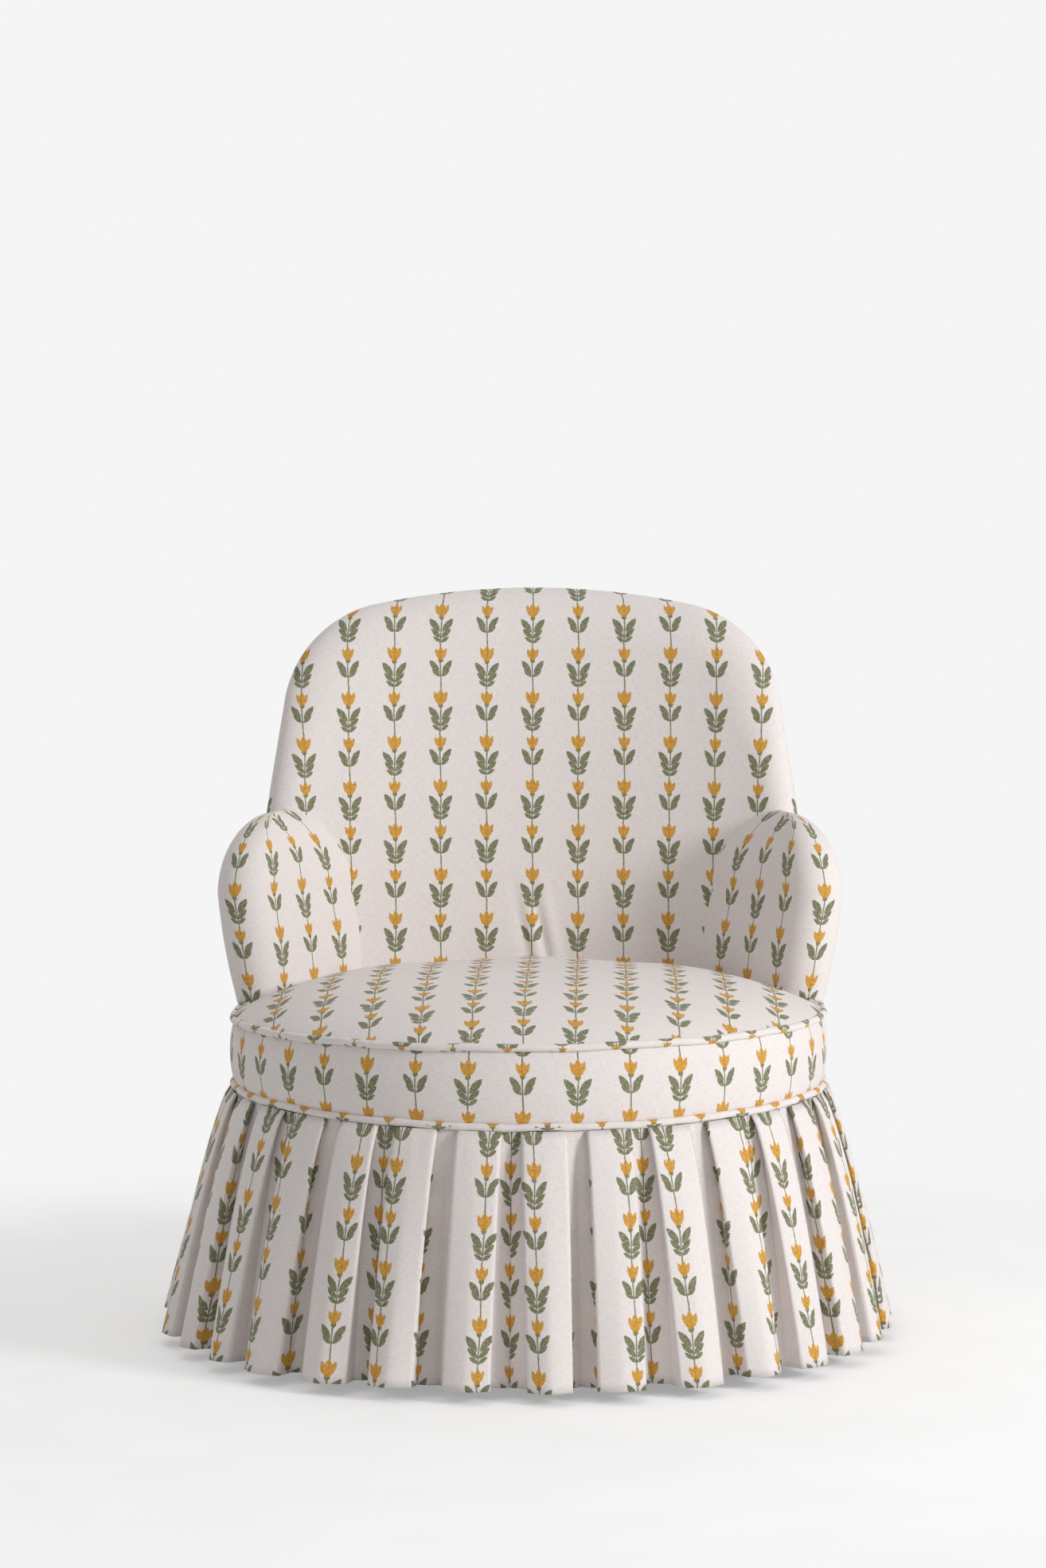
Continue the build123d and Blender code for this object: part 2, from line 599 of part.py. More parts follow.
# Cloth stapled under the seat, cut round the leg plates
with BuildPart() as dust_cover:
    with BuildSketch(Plane.XY.offset(LOWER_RING_BOTTOM - DUST_COVER)):
        make_face(plan_edges(DUST_COVER_INSET))
        with Locations(*[Location((x, y), turn) for x, y, turn in LEG_SPOTS.values()]):
            Rectangle(LEG_PLATE + 2 * DUST_COVER_GAP, LEG_PLATE + 2 * DUST_COVER_GAP, mode=Mode.SUBTRACT)
    extrude(amount=DUST_COVER)
dust_cover.part.label = "dust_cover"
export_step(dust_cover.part, "parts/dust_cover.step")

# Seat webbing: straps from front to rear, and straps laid across them
STRAP_END_INSET = max(FRAME_INSET + FRAME_THICKNESS, ARM_POST_INSET + ARM_POST_WIDTH / 2) + SOFT_GAP
OUTER_STRAP = SEAT_RADIUS - RING_INSET - RING_WIDTH - SEAT_STRAP_MARGIN
SEAT_STRAP_SPACING = 2 * OUTER_STRAP / (SEAT_STRAP_COUNT - 1)
STRAP_PLACES = [SEAT_STRAP_SPACING * (number - (SEAT_STRAP_COUNT - 1) / 2) for number in range(SEAT_STRAP_COUNT)]
STRAP_FIELD = max(STRAP_PLACES) + STRAP_WIDTH / 2 + LAYER_FIT
CROSS_BOTTOM = UPPER_RING_TOP + STRAP_THICKNESS + LAYER_FIT

with BuildPart() as webbing_lengthwise:
    for place in STRAP_PLACES:
        edge_x = abs(place) + STRAP_WIDTH / 2
        front_y, rear_y = plan_front_y(STRAP_END_INSET, edge_x), plan_rear_y(STRAP_END_INSET, edge_x)
        with Locations((place, (front_y + rear_y) / 2, UPPER_RING_TOP)):
            sizes = (STRAP_WIDTH, rear_y - front_y, STRAP_THICKNESS)
            Box(*sizes, align=(Align.CENTER, Align.CENTER, Align.MIN))
webbing_lengthwise.part.label = "webbing_lengthwise"
export_step(webbing_lengthwise.part, "parts/webbing_lengthwise.step")

with BuildPart() as webbing_crosswise:
    for place in STRAP_PLACES:
        edge_ys = (place - STRAP_WIDTH / 2, place + STRAP_WIDTH / 2)
        end = min(plan_half_width(STRAP_END_INSET, y) for y in edge_ys)
        step_end = STRAP_FIELD + STRAP_STEP
        with BuildSketch(Plane.XZ.offset(-place)):
            with BuildLine():
                low, high = UPPER_RING_TOP, CROSS_BOTTOM
                left = [(-end, low), (-step_end, low), (-STRAP_FIELD, high)]
                right = [(STRAP_FIELD, high), (step_end, low), (end, low)]
                under = left + right
                Polyline(*under, *[(x, z + STRAP_THICKNESS) for x, z in reversed(under)], close=True)
            make_face()
        extrude(amount=STRAP_WIDTH / 2, both=True)
webbing_crosswise.part.label = "webbing_crosswise"
export_step(webbing_crosswise.part, "parts/webbing_crosswise.step")

# Felt sheet between the webbing and the seat pad
INSULATOR_BOTTOM = CROSS_BOTTOM + STRAP_THICKNESS + LAYER_FIT
with BuildPart() as seat_insulator:
    with BuildSketch(Plane.XY.offset(INSULATOR_BOTTOM)):
        make_face(plan_edges(STRAP_END_INSET))
    extrude(amount=BASE - LAYER_FIT - INSULATOR_BOTTOM)
seat_insulator.part.label = "seat_insulator"
export_step(seat_insulator.part, "parts/seat_insulator.step")

# Seat pad, wadding and cover, cut where the back and the arms stand
back_outside = back_form(0)
back_room = back_form(-SOFT_GAP)
arm_room = arm_form(-SOFT_GAP)
with BuildPart() as seat_cutter:
    add(back_room)
    add(arm_room)
    mirror(arm_room, about=Plane.YZ)
    for side, outwards in ((1, Align.MIN), (-1, Align.MAX)):
        with Locations((side * BASE_NOSE_X, BASE_NOSE_Y - SEAT_RIM_MARGIN, BASE)):
            Box(SEAT_RADIUS, SEAT_REAR, 2 * CROWN_RISE, align=(outwards, Align.MIN, Align.MIN))

with BuildPart() as seat_cover:
    add(seat_form(0))
    add(seat_form(COVER), mode=Mode.SUBTRACT)
    add(seat_cutter.part, mode=Mode.SUBTRACT)
seat_cover.part.label = "seat_cover"
export_step(seat_cover.part, "parts/seat_cover.step")

with BuildPart() as seat_wadding:
    add(seat_form(COVER + LAYER_FIT))
    add(seat_form(COVER + LAYER_FIT + WADDING), mode=Mode.SUBTRACT)
    add(seat_cutter.part, mode=Mode.SUBTRACT)
seat_wadding.part.label = "seat_wadding"
export_step(seat_wadding.part, "parts/seat_wadding.step")

with BuildPart() as seat_foam:
    add(seat_form(COVER + WADDING + 2 * LAYER_FIT))
    add(seat_cutter.part, mode=Mode.SUBTRACT)
seat_foam.part.label = "seat_foam"
export_step(seat_foam.part, "parts/seat_foam.step")

# Border round the seat, between the two welts
BORDER_BOTTOM = LOWER_WELT_HEIGHT + SEAM_GAP
BORDER_CLOTH_HEIGHT = BORDER_HEIGHT - 2 * SEAM_GAP
with BuildPart() as seat_border:
    add(plan_ring(0, COVER, BORDER_BOTTOM, BORDER_CLOTH_HEIGHT))
seat_border.part.label = "seat_border"
export_step(seat_border.part, "parts/seat_border.step")

with BuildPart() as border_wadding:
    add(plan_ring(COVER + LAYER_FIT, WADDING, BORDER_BOTTOM, BORDER_CLOTH_HEIGHT))
border_wadding.part.label = "border_wadding"
export_step(border_wadding.part, "parts/border_wadding.step")

# Welts: a cord in a sleeve of the cover cloth
for level, height in (("upper", UPPER_WELT_HEIGHT), ("lower", LOWER_WELT_HEIGHT)):
    with BuildPart() as welt:
        add(welt_rope(height, WELT_RADIUS))
        add(welt_rope(height, WELT_CORD_RADIUS + LAYER_FIT), mode=Mode.SUBTRACT)
    welt.part.label = f"{level}_welt"
    export_step(welt.part, f"parts/{level}_welt.step")
    with BuildPart() as welt_cord:
        add(welt_rope(height, WELT_CORD_RADIUS))
    welt_cord.part.label = f"{level}_welt_cord"
    export_step(welt_cord.part, f"parts/{level}_welt_cord.step")

# Box pleated skirt and the strip it is tacked through
with BuildPart() as skirt:
    add(skirt_form(0))
    add(skirt_form(SKIRT_CLOTH), mode=Mode.SUBTRACT)
skirt.part.label = "skirt"
export_step(skirt.part, "parts/skirt.step")

with BuildPart() as skirt_tack_strip:
    add(plan_ring(RING_INSET - LAYER_FIT - TACK_STRIP, TACK_STRIP, SKIRT_TOP - TACK_STRIP_HEIGHT, TACK_STRIP_HEIGHT))
skirt_tack_strip.part.label = "skirt_tack_strip"
export_step(skirt_tack_strip.part, "parts/skirt_tack_strip.step")

# Wooden frame of the back
frame_wall = leaning_shell(FRAME_INSET, FRAME_THICKNESS, UPPER_RING_TOP, BACK_HEIGHT)
post_height = CREST_RAIL_BOTTOM - UPPER_RING_TOP
POST_TOP_Y = plan_rear_y(FRAME_MIDDLE - lean_at(CREST_RAIL_BOTTOM), POST_X)
RAIL_MIDDLE_Z = LOWER_RAIL_BOTTOM + LOWER_RAIL_HEIGHT / 2
RAIL_END_X = POST_X - POST_WIDTH / 2
RAIL_END_Y = plan_rear_y(FRAME_MIDDLE - lean_at(RAIL_MIDDLE_Z), RAIL_END_X)

with BuildPart() as frame_dowels:
    for side in (-1, 1):
        with Locations((side * POST_X, POST_TOP_Y, CREST_RAIL_BOTTOM)):
            Cylinder(DOWEL_RADIUS, DOWEL_LENGTH)
        with Locations(Location((side * RAIL_END_X, RAIL_END_Y, RAIL_MIDDLE_Z), (0, 90, 0))):
            Cylinder(DOWEL_RADIUS, DOWEL_LENGTH)
        with Locations((side * ARM_POST_X, ARM_POST_MIDDLE_Y, ARM_RAIL_BOTTOM)):
            Cylinder(DOWEL_RADIUS, DOWEL_LENGTH)
frame_dowels.part.label = "frame_dowels"
export_step(frame_dowels.part, "parts/frame_dowels.step")

with BuildPart() as back_post_right:
    with Locations((POST_X, 0, UPPER_RING_TOP)):
        sizes = (POST_WIDTH, 2 * SEAT_REAR, post_height)
        Box(*sizes, align=(Align.CENTER, Align.MIN, Align.MIN))
    add(frame_wall, mode=Mode.INTERSECT)
    add(frame_dowels.part, mode=Mode.SUBTRACT)
    add(post_screws.part, mode=Mode.SUBTRACT)
back_post_right.part.label = "back_post_right"
export_step(back_post_right.part, "parts/back_post_right.step")

with BuildPart() as back_post_left:
    mirror(back_post_right.part, about=Plane.YZ)
back_post_left.part.label = "back_post_left"
export_step(back_post_left.part, "parts/back_post_left.step")

with BuildPart() as crest_rail:
    with Locations((0, 0, CREST_RAIL_BOTTOM)):
        sizes = (2 * SEAT_RADIUS, 2 * SEAT_REAR, BACK_HEIGHT - CREST_RAIL_BOTTOM)
        Box(*sizes, align=(Align.CENTER, Align.MIN, Align.MIN))
    add(frame_wall, mode=Mode.INTERSECT)
    add(back_block(CREST_RIM), mode=Mode.INTERSECT)
    add(frame_dowels.part, mode=Mode.SUBTRACT)
crest_rail.part.label = "crest_rail"
export_step(crest_rail.part, "parts/crest_rail.step")

with BuildPart() as lower_back_rail:
    with Locations((0, 0, LOWER_RAIL_BOTTOM)):
        Box(2 * RAIL_END_X, 2 * SEAT_REAR, LOWER_RAIL_HEIGHT, align=(Align.CENTER, Align.MIN, Align.MIN))
    add(frame_wall, mode=Mode.INTERSECT)
    add(frame_dowels.part, mode=Mode.SUBTRACT)
lower_back_rail.part.label = "lower_back_rail"
export_step(lower_back_rail.part, "parts/lower_back_rail.step")

# Straps across the back, from post to post
STRAP_REACH = RAIL_END_X + BACK_STRAP_BEARING
STRAP_MIDDLE_Z = (LOWER_RAIL_BOTTOM + LOWER_RAIL_HEIGHT + CREST_RAIL_BOTTOM) / 2
with BuildPart() as back_webbing:
    for number in range(BACK_STRAP_COUNT):
        strap_z = STRAP_MIDDLE_Z + BACK_STRAP_SPACING * (number - (BACK_STRAP_COUNT - 1) / 2)
        with Locations((0, 0, strap_z)):
            Box(2 * STRAP_REACH, 2 * SEAT_REAR, STRAP_WIDTH, align=(Align.CENTER, Align.MIN, Align.CENTER))
    add(leaning_shell(STRAP_INSET, STRAP_THICKNESS, UPPER_RING_TOP, BACK_HEIGHT), mode=Mode.INTERSECT)
back_webbing.part.label = "back_webbing"
export_step(back_webbing.part, "parts/back_webbing.step")

# Arm frames: a post at the front and a rail that runs back into the back post
with BuildPart() as arm_post_right:
    with Locations((ARM_POST_X, ARM_POST_MIDDLE_Y, UPPER_RING_TOP)):
        sizes = (ARM_POST_WIDTH, ARM_POST_LENGTH, ARM_RAIL_BOTTOM - UPPER_RING_TOP)
        Box(*sizes, align=(Align.CENTER, Align.CENTER, Align.MIN))
    add(frame_dowels.part, mode=Mode.SUBTRACT)
    add(post_screws.part, mode=Mode.SUBTRACT)
arm_post_right.part.label = "arm_post_right"
export_step(arm_post_right.part, "parts/arm_post_right.step")

with BuildPart() as arm_post_left:
    mirror(arm_post_right.part, about=Plane.YZ)
arm_post_left.part.label = "arm_post_left"
export_step(arm_post_left.part, "parts/arm_post_left.step")


def arm_rail_blank(fit):
    """The right arm rail before its end is cut to the back post, grown by fit."""
    rear_x = POST_X + ARM_RAIL_SHIFT
    slant = (ARM_POST_X - rear_x) / (BACK_POST_FOOT_Y - ARM_POST_MIDDLE_Y)
    front_y = ARM_POST_FRONT_Y - fit
    front_x = ARM_POST_X + slant * (ARM_POST_MIDDLE_Y - front_y)
    corners = rail_plan(front_x, front_y, rear_x, BACK_POST_FOOT_Y, ARM_RAIL_WIDTH + 2 * fit)
    with BuildPart(mode=Mode.PRIVATE) as blank:
        with BuildSketch(Plane.XY.offset(ARM_RAIL_BOTTOM - fit)):
            with BuildLine():
                Polyline(*corners, close=True)
            make_face()
        extrude(amount=ARM_RAIL_HEIGHT + 2 * fit)
    return blank.part


with BuildPart() as arm_rail_right:
    add(arm_rail_blank(0))
    add(back_post_right.part, mode=Mode.SUBTRACT)
    add(frame_dowels.part, mode=Mode.SUBTRACT)
    back_ends = arm_rail_right.solids().sort_by(SortBy.VOLUME)[:-1]
    if back_ends:
        add(back_ends, mode=Mode.SUBTRACT)
arm_rail_right.part.label = "arm_rail_right"
export_step(arm_rail_right.part, "parts/arm_rail_right.step")

with BuildPart() as arm_rail_left:
    mirror(arm_rail_right.part, about=Plane.YZ)
arm_rail_left.part.label = "arm_rail_left"
export_step(arm_rail_left.part, "parts/arm_rail_left.step")

# Padding of the back: a deep pad in front of the frame, a board and wadding behind it
rail_room = arm_rail_blank(SOFT_GAP)
with BuildPart() as frame_room:
    add(leaning_shell(-COVER, CAVITY_INSET + COVER, BASE - CUT_MARGIN, BACK_HEIGHT + CUT_MARGIN))
    add(back_block(FOAM_RIM), mode=Mode.INTERSECT)

with BuildPart() as back_foam:
    add(back_form(COVER + LAYER_FIT))
    add(frame_room.part, mode=Mode.SUBTRACT)
    add(rail_room, mode=Mode.SUBTRACT)
    mirror(rail_room, about=Plane.YZ, mode=Mode.SUBTRACT)
back_foam.part.label = "back_foam"
export_step(back_foam.part, "parts/back_foam.step")

behind_sitter = sitting_space(CAVITY_INSET)
sheet_outline = back_block(FOAM_RIM + LAYER_FIT)
with BuildPart() as outside_back_wadding:
    add(leaning_shell(WADDING_INSET, BACK_WADDING, BASE, BACK_HEIGHT))
    add(sheet_outline, mode=Mode.INTERSECT)
    add(behind_sitter, mode=Mode.SUBTRACT)
outside_back_wadding.part.label = "outside_back_wadding"
export_step(outside_back_wadding.part, "parts/outside_back_wadding.step")

with BuildPart() as outside_back_board:
    add(leaning_shell(HARDBOARD_INSET, HARDBOARD, BASE, BACK_HEIGHT))
    add(sheet_outline, mode=Mode.INTERSECT)
    add(behind_sitter, mode=Mode.SUBTRACT)
outside_back_board.part.label = "outside_back_board"
export_step(outside_back_board.part, "parts/outside_back_board.step")

# Covers of the back, seamed along its rear edge
rear_seam = leaning_tower(COVER + WADDING + BACK_WADDING, BASE - CUT_MARGIN, BACK_HEIGHT + CUT_MARGIN)
back_inside = back_form(COVER)
with BuildPart() as inside_back_cover:
    add(back_outside)
    add(back_inside, mode=Mode.SUBTRACT)
    add(rear_seam, mode=Mode.INTERSECT)
    add(rail_room, mode=Mode.SUBTRACT)
    mirror(rail_room, about=Plane.YZ, mode=Mode.SUBTRACT)
inside_back_cover.part.label = "inside_back_cover"
export_step(inside_back_cover.part, "parts/inside_back_cover.step")

with BuildPart() as outside_back_cover:
    add(back_outside)
    add(back_inside, mode=Mode.SUBTRACT)
    add(rear_seam, mode=Mode.SUBTRACT)
outside_back_cover.part.label = "outside_back_cover"
export_step(outside_back_cover.part, "parts/outside_back_cover.step")

# Arm padding and covers, cut where they meet the back
with BuildPart() as arm_foam_right:
    add(arm_form(COVER + SOFT_GAP))
    add(back_room, mode=Mode.SUBTRACT)
    add(rail_room, mode=Mode.SUBTRACT)
    add(arm_post_right.part, mode=Mode.SUBTRACT)
    add(post_screws.part, mode=Mode.SUBTRACT)
    add(frame_dowels.part, mode=Mode.SUBTRACT)
arm_foam_right.part.label = "arm_foam_right"
export_step(arm_foam_right.part, "parts/arm_foam_right.step")

with BuildPart() as outside_arm_panel:
    with Locations((BASE_NOSE_X, BASE_NOSE_Y + OUTSIDE_ARM_MARGIN, BASE)):
        Box(SEAT_RADIUS, SEAT_REAR, OUTSIDE_ARM_RISE, align=(Align.MIN, Align.MIN, Align.MIN))

with BuildPart() as arm_cover_right:
    add(arm_form(0))
    add(arm_form(COVER), mode=Mode.SUBTRACT)
    add(back_room, mode=Mode.SUBTRACT)
    add(outside_arm_panel.part, mode=Mode.SUBTRACT)
arm_cover_right.part.label = "arm_cover_right"
export_step(arm_cover_right.part, "parts/arm_cover_right.step")

with BuildPart() as outside_arm_cover_right:
    add(arm_form(0))
    add(arm_form(COVER), mode=Mode.SUBTRACT)
    add(back_room, mode=Mode.SUBTRACT)
    add(outside_arm_panel.part, mode=Mode.INTERSECT)
outside_arm_cover_right.part.label = "outside_arm_cover_right"
export_step(outside_arm_cover_right.part, "parts/outside_arm_cover_right.step")

with BuildPart() as arm_foam_left:
    mirror(arm_foam_right.part, about=Plane.YZ)
arm_foam_left.part.label = "arm_foam_left"
export_step(arm_foam_left.part, "parts/arm_foam_left.step")

with BuildPart() as arm_cover_left:
    mirror(arm_cover_right.part, about=Plane.YZ)
arm_cover_left.part.label = "arm_cover_left"
export_step(arm_cover_left.part, "parts/arm_cover_left.step")

with BuildPart() as outside_arm_cover_left:
    mirror(outside_arm_cover_right.part, about=Plane.YZ)
outside_arm_cover_left.part.label = "outside_arm_cover_left"
export_step(outside_arm_cover_left.part, "parts/outside_arm_cover_left.step")
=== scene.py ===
"""Looks of a skirted accent chair: printed covers, welts, a pleated skirt, stitching and a plain studio."""
import json
import logging
import math
from dataclasses import dataclass
from enum import Enum

import bmesh
import bpy
import numpy as np
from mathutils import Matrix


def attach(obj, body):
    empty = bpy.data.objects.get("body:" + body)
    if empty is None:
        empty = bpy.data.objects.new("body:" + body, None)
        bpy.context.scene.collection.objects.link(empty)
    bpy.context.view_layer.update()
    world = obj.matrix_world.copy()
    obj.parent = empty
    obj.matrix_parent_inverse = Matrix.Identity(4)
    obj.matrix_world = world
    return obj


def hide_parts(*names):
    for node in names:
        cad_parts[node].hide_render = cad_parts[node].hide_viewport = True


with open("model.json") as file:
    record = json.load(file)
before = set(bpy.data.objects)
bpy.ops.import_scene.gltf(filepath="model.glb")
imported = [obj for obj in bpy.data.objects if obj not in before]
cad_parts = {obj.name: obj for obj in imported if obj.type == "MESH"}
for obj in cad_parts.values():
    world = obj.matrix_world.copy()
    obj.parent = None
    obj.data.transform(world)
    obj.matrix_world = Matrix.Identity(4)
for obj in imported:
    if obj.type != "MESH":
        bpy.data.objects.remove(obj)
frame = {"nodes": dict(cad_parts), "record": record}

LOG = logging.getLogger("chair")
CLOTH_MAP = "cloth"
CLOTH_SLOT = "printed_cloth"
BODY = "root"
STRIPE_PITCH = 0.0564
COVER_WALL = 0.002
MERGE_DISTANCE = 1e-6
FLAT_DISTANCE = 1e-7
Material = bpy.types.Material
Mesh = bpy.types.Mesh
Node = bpy.types.Node
NodeTree = bpy.types.NodeTree
Piece = bpy.types.Object
Socket = bpy.types.NodeSocket
Value = Socket | float | int | tuple
Colour = tuple[int, int, int]
Pair = tuple[float, float]
Place = tuple[float, float, float]
Corners = tuple[Pair, ...]
SOCKET_KINDS = {
    float: "NodeSocketFloat",
    int: "NodeSocketInt",
    Piece: "NodeSocketObject",
    Material: "NodeSocketMaterial",
}


class NodeDesk:
    """Adds nodes to one tree and joins them."""

    def __init__(self, tree: NodeTree) -> None:
        """Keeps the tree that the nodes go into."""
        self.tree = tree

    def add(self, kind: str, values: dict[str, Value] | None = None, **settings: object) -> Node:
        """Adds a node.

        Args:
            kind: the node's type name.
            values: what goes into its inputs, by their names.
            settings: properties of the node and their values.

        Returns:
            The new node.
        """
        node = self.tree.nodes.new(kind)
        for name, value in settings.items():
            setattr(node, name, value)
        return self.fill(node, values or {})

    def fill(self, node: Node, values: dict[str, Value]) -> Node:
        """Joins or sets inputs of a node by their names.

        Args:
            node: the node.
            values: what goes into its inputs, by their names.

        Returns:
            The same node.
        """
        for name, value in values.items():
            self.feed(node.inputs[name], value)
        return node

    def feed(self, socket: Socket, value: Value) -> None:
        """Joins an output to a socket, or sets a plain value on it.

        Args:
            socket: the input that gets it.
            value: the output or the plain value.
        """
        if isinstance(value, Socket):
            self.tree.links.new(value, socket)
        else:
            socket.default_value = value

    def math(self, operation: str, *values: Value) -> Socket:
        """Adds a math node.

        Args:
            operation: the name of the operation.
            values: the numbers or outputs it works on.

        Returns:
            The node's result.
        """
        node = self.add("ShaderNodeMath", operation=operation)
        for socket, value in zip(node.inputs, values):
            self.feed(socket, value)
        return node.outputs[0]

    def chain(self, operation: str, *values: Value) -> Socket:
        """Runs one operation through several numbers in turn.

        Args:
            operation: the name of the operation.
            values: the numbers or outputs it works on.

        Returns:
            The last result.
        """
        result = values[0]
        for value in values[1:]:
            result = self.math(operation, result, value)
        return result

    def total(self, *values: Value) -> Socket:
        """Adds up several numbers."""
        return self.chain("ADD", *values)

    def times(self, *values: Value) -> Socket:
        """Multiplies several numbers."""
        return self.chain("MULTIPLY", *values)

    def largest(self, *values: Value) -> Socket:
        """Takes the largest of several numbers."""
        return self.chain("MAXIMUM", *values)

    def blend(self, share: Value, first: Value, second: Value) -> Socket:
        """Goes from the first number to the second as the share goes from 0 to 1."""
        step = self.math("SUBTRACT", second, first)
        return self.math("MULTIPLY_ADD", step, share, first)

    def ramp(self, value: Value, low: float, high: float, first: float = 0.0, last: float = 1.0) -> Socket:
        """Maps a number smoothly from one range onto another.

        Args:
            value: the number to map.
            low: where the step begins.
            high: where the step ends.
            first: the result up to low.
            last: the result from high on.

        Returns:
            The mapped number.
        """
        values = {"Value": value, "From Min": low, "From Max": high, "To Min": first, "To Max": last}
        node = self.add("ShaderNodeMapRange", values, interpolation_type="SMOOTHSTEP")
        return node.outputs["Result"]

    def vector(self, x: Value = 0.0, y: Value = 0.0, z: Value = 0.0) -> Socket:
        """Joins three numbers to a vector."""
        return self.add("ShaderNodeCombineXYZ", {"X": x, "Y": y, "Z": z}).outputs[0]

    def parts(self, vector: Socket) -> list[Socket]:
        """Splits a vector into its three numbers."""
        return list(self.add("ShaderNodeSeparateXYZ", {"Vector": vector}).outputs)

    def noise(self, vector: Socket, scale: float, detail: float = 2.0) -> Socket:
        """Adds a noise pattern.

        Args:
            vector: the place that the pattern reads.
            scale: how many grains fit in one unit.
            detail: how much finer grain is added.

        Returns:
            The pattern's number, round about one half.
        """
        values = {"Vector": vector, "Scale": scale, "Detail": detail}
        return self.add("ShaderNodeTexNoise", values).outputs[0]

    def mix(self, share: Value, first: Value, second: Value) -> Socket:
        """Mixes two colours.

        Args:
            share: how much of the second one shows.
            first: the first colour.
            second: the second colour.

        Returns:
            The mixed colour.
        """
        node = self.add("ShaderNodeMix", data_type="RGBA")
        sockets = {socket.identifier: socket for socket in node.inputs}
        self.feed(sockets["Factor_Float"], share)
        self.feed(sockets["A_Color"], first)
        self.feed(sockets["B_Color"], second)
        return next(socket for socket in node.outputs if socket.identifier == "Result_Color")

    def curve(self, value: Value, points: Corners) -> Socket:
        """Adds a curve of straight runs.

        Args:
            value: the number that is looked up.
            points: the corners of the curve, the first at 0 and the last at 1.

        Returns:
            The curve's height.
        """
        node = self.add("ShaderNodeFloatCurve")
        line = node.mapping.curves[0]
        line.points[0].location = points[0]
        line.points[1].location = points[-1]
        for place in points[1:-1]:
            line.points.new(*place)
        for point in line.points:
            point.handle_type = "VECTOR"
        node.mapping.update()
        self.feed(node.inputs["Value"], value)
        return node.outputs[0]

    def relief(self, shader: Node, height: Value, distance: float, strength: float = 1.0) -> None:
        """Gives a shader its bumps.

        Args:
            shader: the shader that gets them.
            height: the bumps' pattern.
            distance: how high they are, in metres.
            strength: how much of them shows.
        """
        node = self.add("ShaderNodeBump", {"Distance": distance, "Strength": strength, "Height": height})
        self.feed(shader.inputs["Normal"], node.outputs["Normal"])


def linear(red: int, green: int, blue: int) -> tuple[float, ...]:
    """Turns a screen colour of 0 to 255 into the shader's colour.

    Args:
        red: the screen's red.
        green: the screen's green.
        blue: the screen's blue.

    Returns:
        The colour's three shares, with 1 for its cover.
    """
    shares = [channel / 255 for channel in (red, green, blue)]
    bent = [share / 12.92 if share <= 0.04045 else ((share + 0.055) / 1.055) ** 2.4 for share in shares]
    return (*bent, 1.0)


def new_material(name: str) -> tuple[Material, NodeDesk, Node]:
    """Starts a material.

    Args:
        name: the finish's name.

    Returns:
        The material, a desk for its nodes, and its shader.
    """
    material = bpy.data.materials.new(name)
    material.use_nodes = True
    return material, NodeDesk(material.node_tree), material.node_tree.nodes["Principled BSDF"]


class Pattern(Enum):
    """How the surface of a plain finish is broken up."""

    GRAIN = "grain"
    WEAVE = "weave"
    SPECKLE = "speckle"


@dataclass(frozen=True)
class PlainFinish:
    """A finish of two tones with its own surface."""

    name: str
    light: Colour
    dark: Colour
    pattern: Pattern
    scale: float
    roughness: float
    metallic: float = 0.0
    bump: float = 0.0004
    grain_stretch: float = 0.08
    grain_detail: float = 6.0
    speckle_detail: float = 4.0
    thread_share: float = 0.4
    slub_scale: float = 40.0
    tone_range: Pair = (0.3, 0.7)
    rough_range: Pair = (0.2, 0.8)
    roughness_swing: float = 0.06

    def build(self) -> Material:
        """Makes the material from its two tones and its pattern.

        Returns:
            The material.
        """
        material, desk, shader = new_material(self.name)
        place = desk.add("ShaderNodeTexCoord").outputs["Object"]
        x, y, z = desk.parts(place)
        if self.pattern is Pattern.GRAIN:
            rings = desk.vector(x, y, desk.times(z, self.grain_stretch))
            tone = desk.noise(rings, self.scale, self.grain_detail)
        elif self.pattern is Pattern.WEAVE:
            across = desk.math("SINE", desk.times(desk.total(x, z), self.scale))
            along = desk.math("SINE", desk.times(desk.math("SUBTRACT", y, z), self.scale))
            slub = desk.noise(place, self.slub_scale)
            tone = desk.math("MULTIPLY_ADD", desk.times(across, along), self.thread_share, slub)
        else:
            tone = desk.noise(place, self.scale, self.speckle_detail)
        colour = desk.mix(desk.ramp(tone, *self.tone_range), linear(*self.dark), linear(*self.light))
        smooth, rough = self.roughness - self.roughness_swing, self.roughness + self.roughness_swing
        roughness = desk.ramp(tone, *self.rough_range, smooth, rough)
        desk.fill(shader, {"Base Color": colour, "Metallic": self.metallic, "Roughness": roughness})
        desk.relief(shader, tone, self.bump)
        return material


@dataclass(frozen=True)
class Leaf:
    """One pair of leaves: how far out and down from its bloom, its turn and its half length."""

    out: float
    down: float
    turn: float
    half: float


@dataclass(frozen=True)
class Bloom:
    """One tulip of the print: its height in the repeat, its size and the leaves below it."""

    height: float
    size: float
    leaves: tuple[Leaf, ...]

    def sized(self, halves: Pair) -> Pair:
        """Brings a petal's half length and half width to the bloom's size."""
        return halves[0] * self.size, halves[1] * self.size


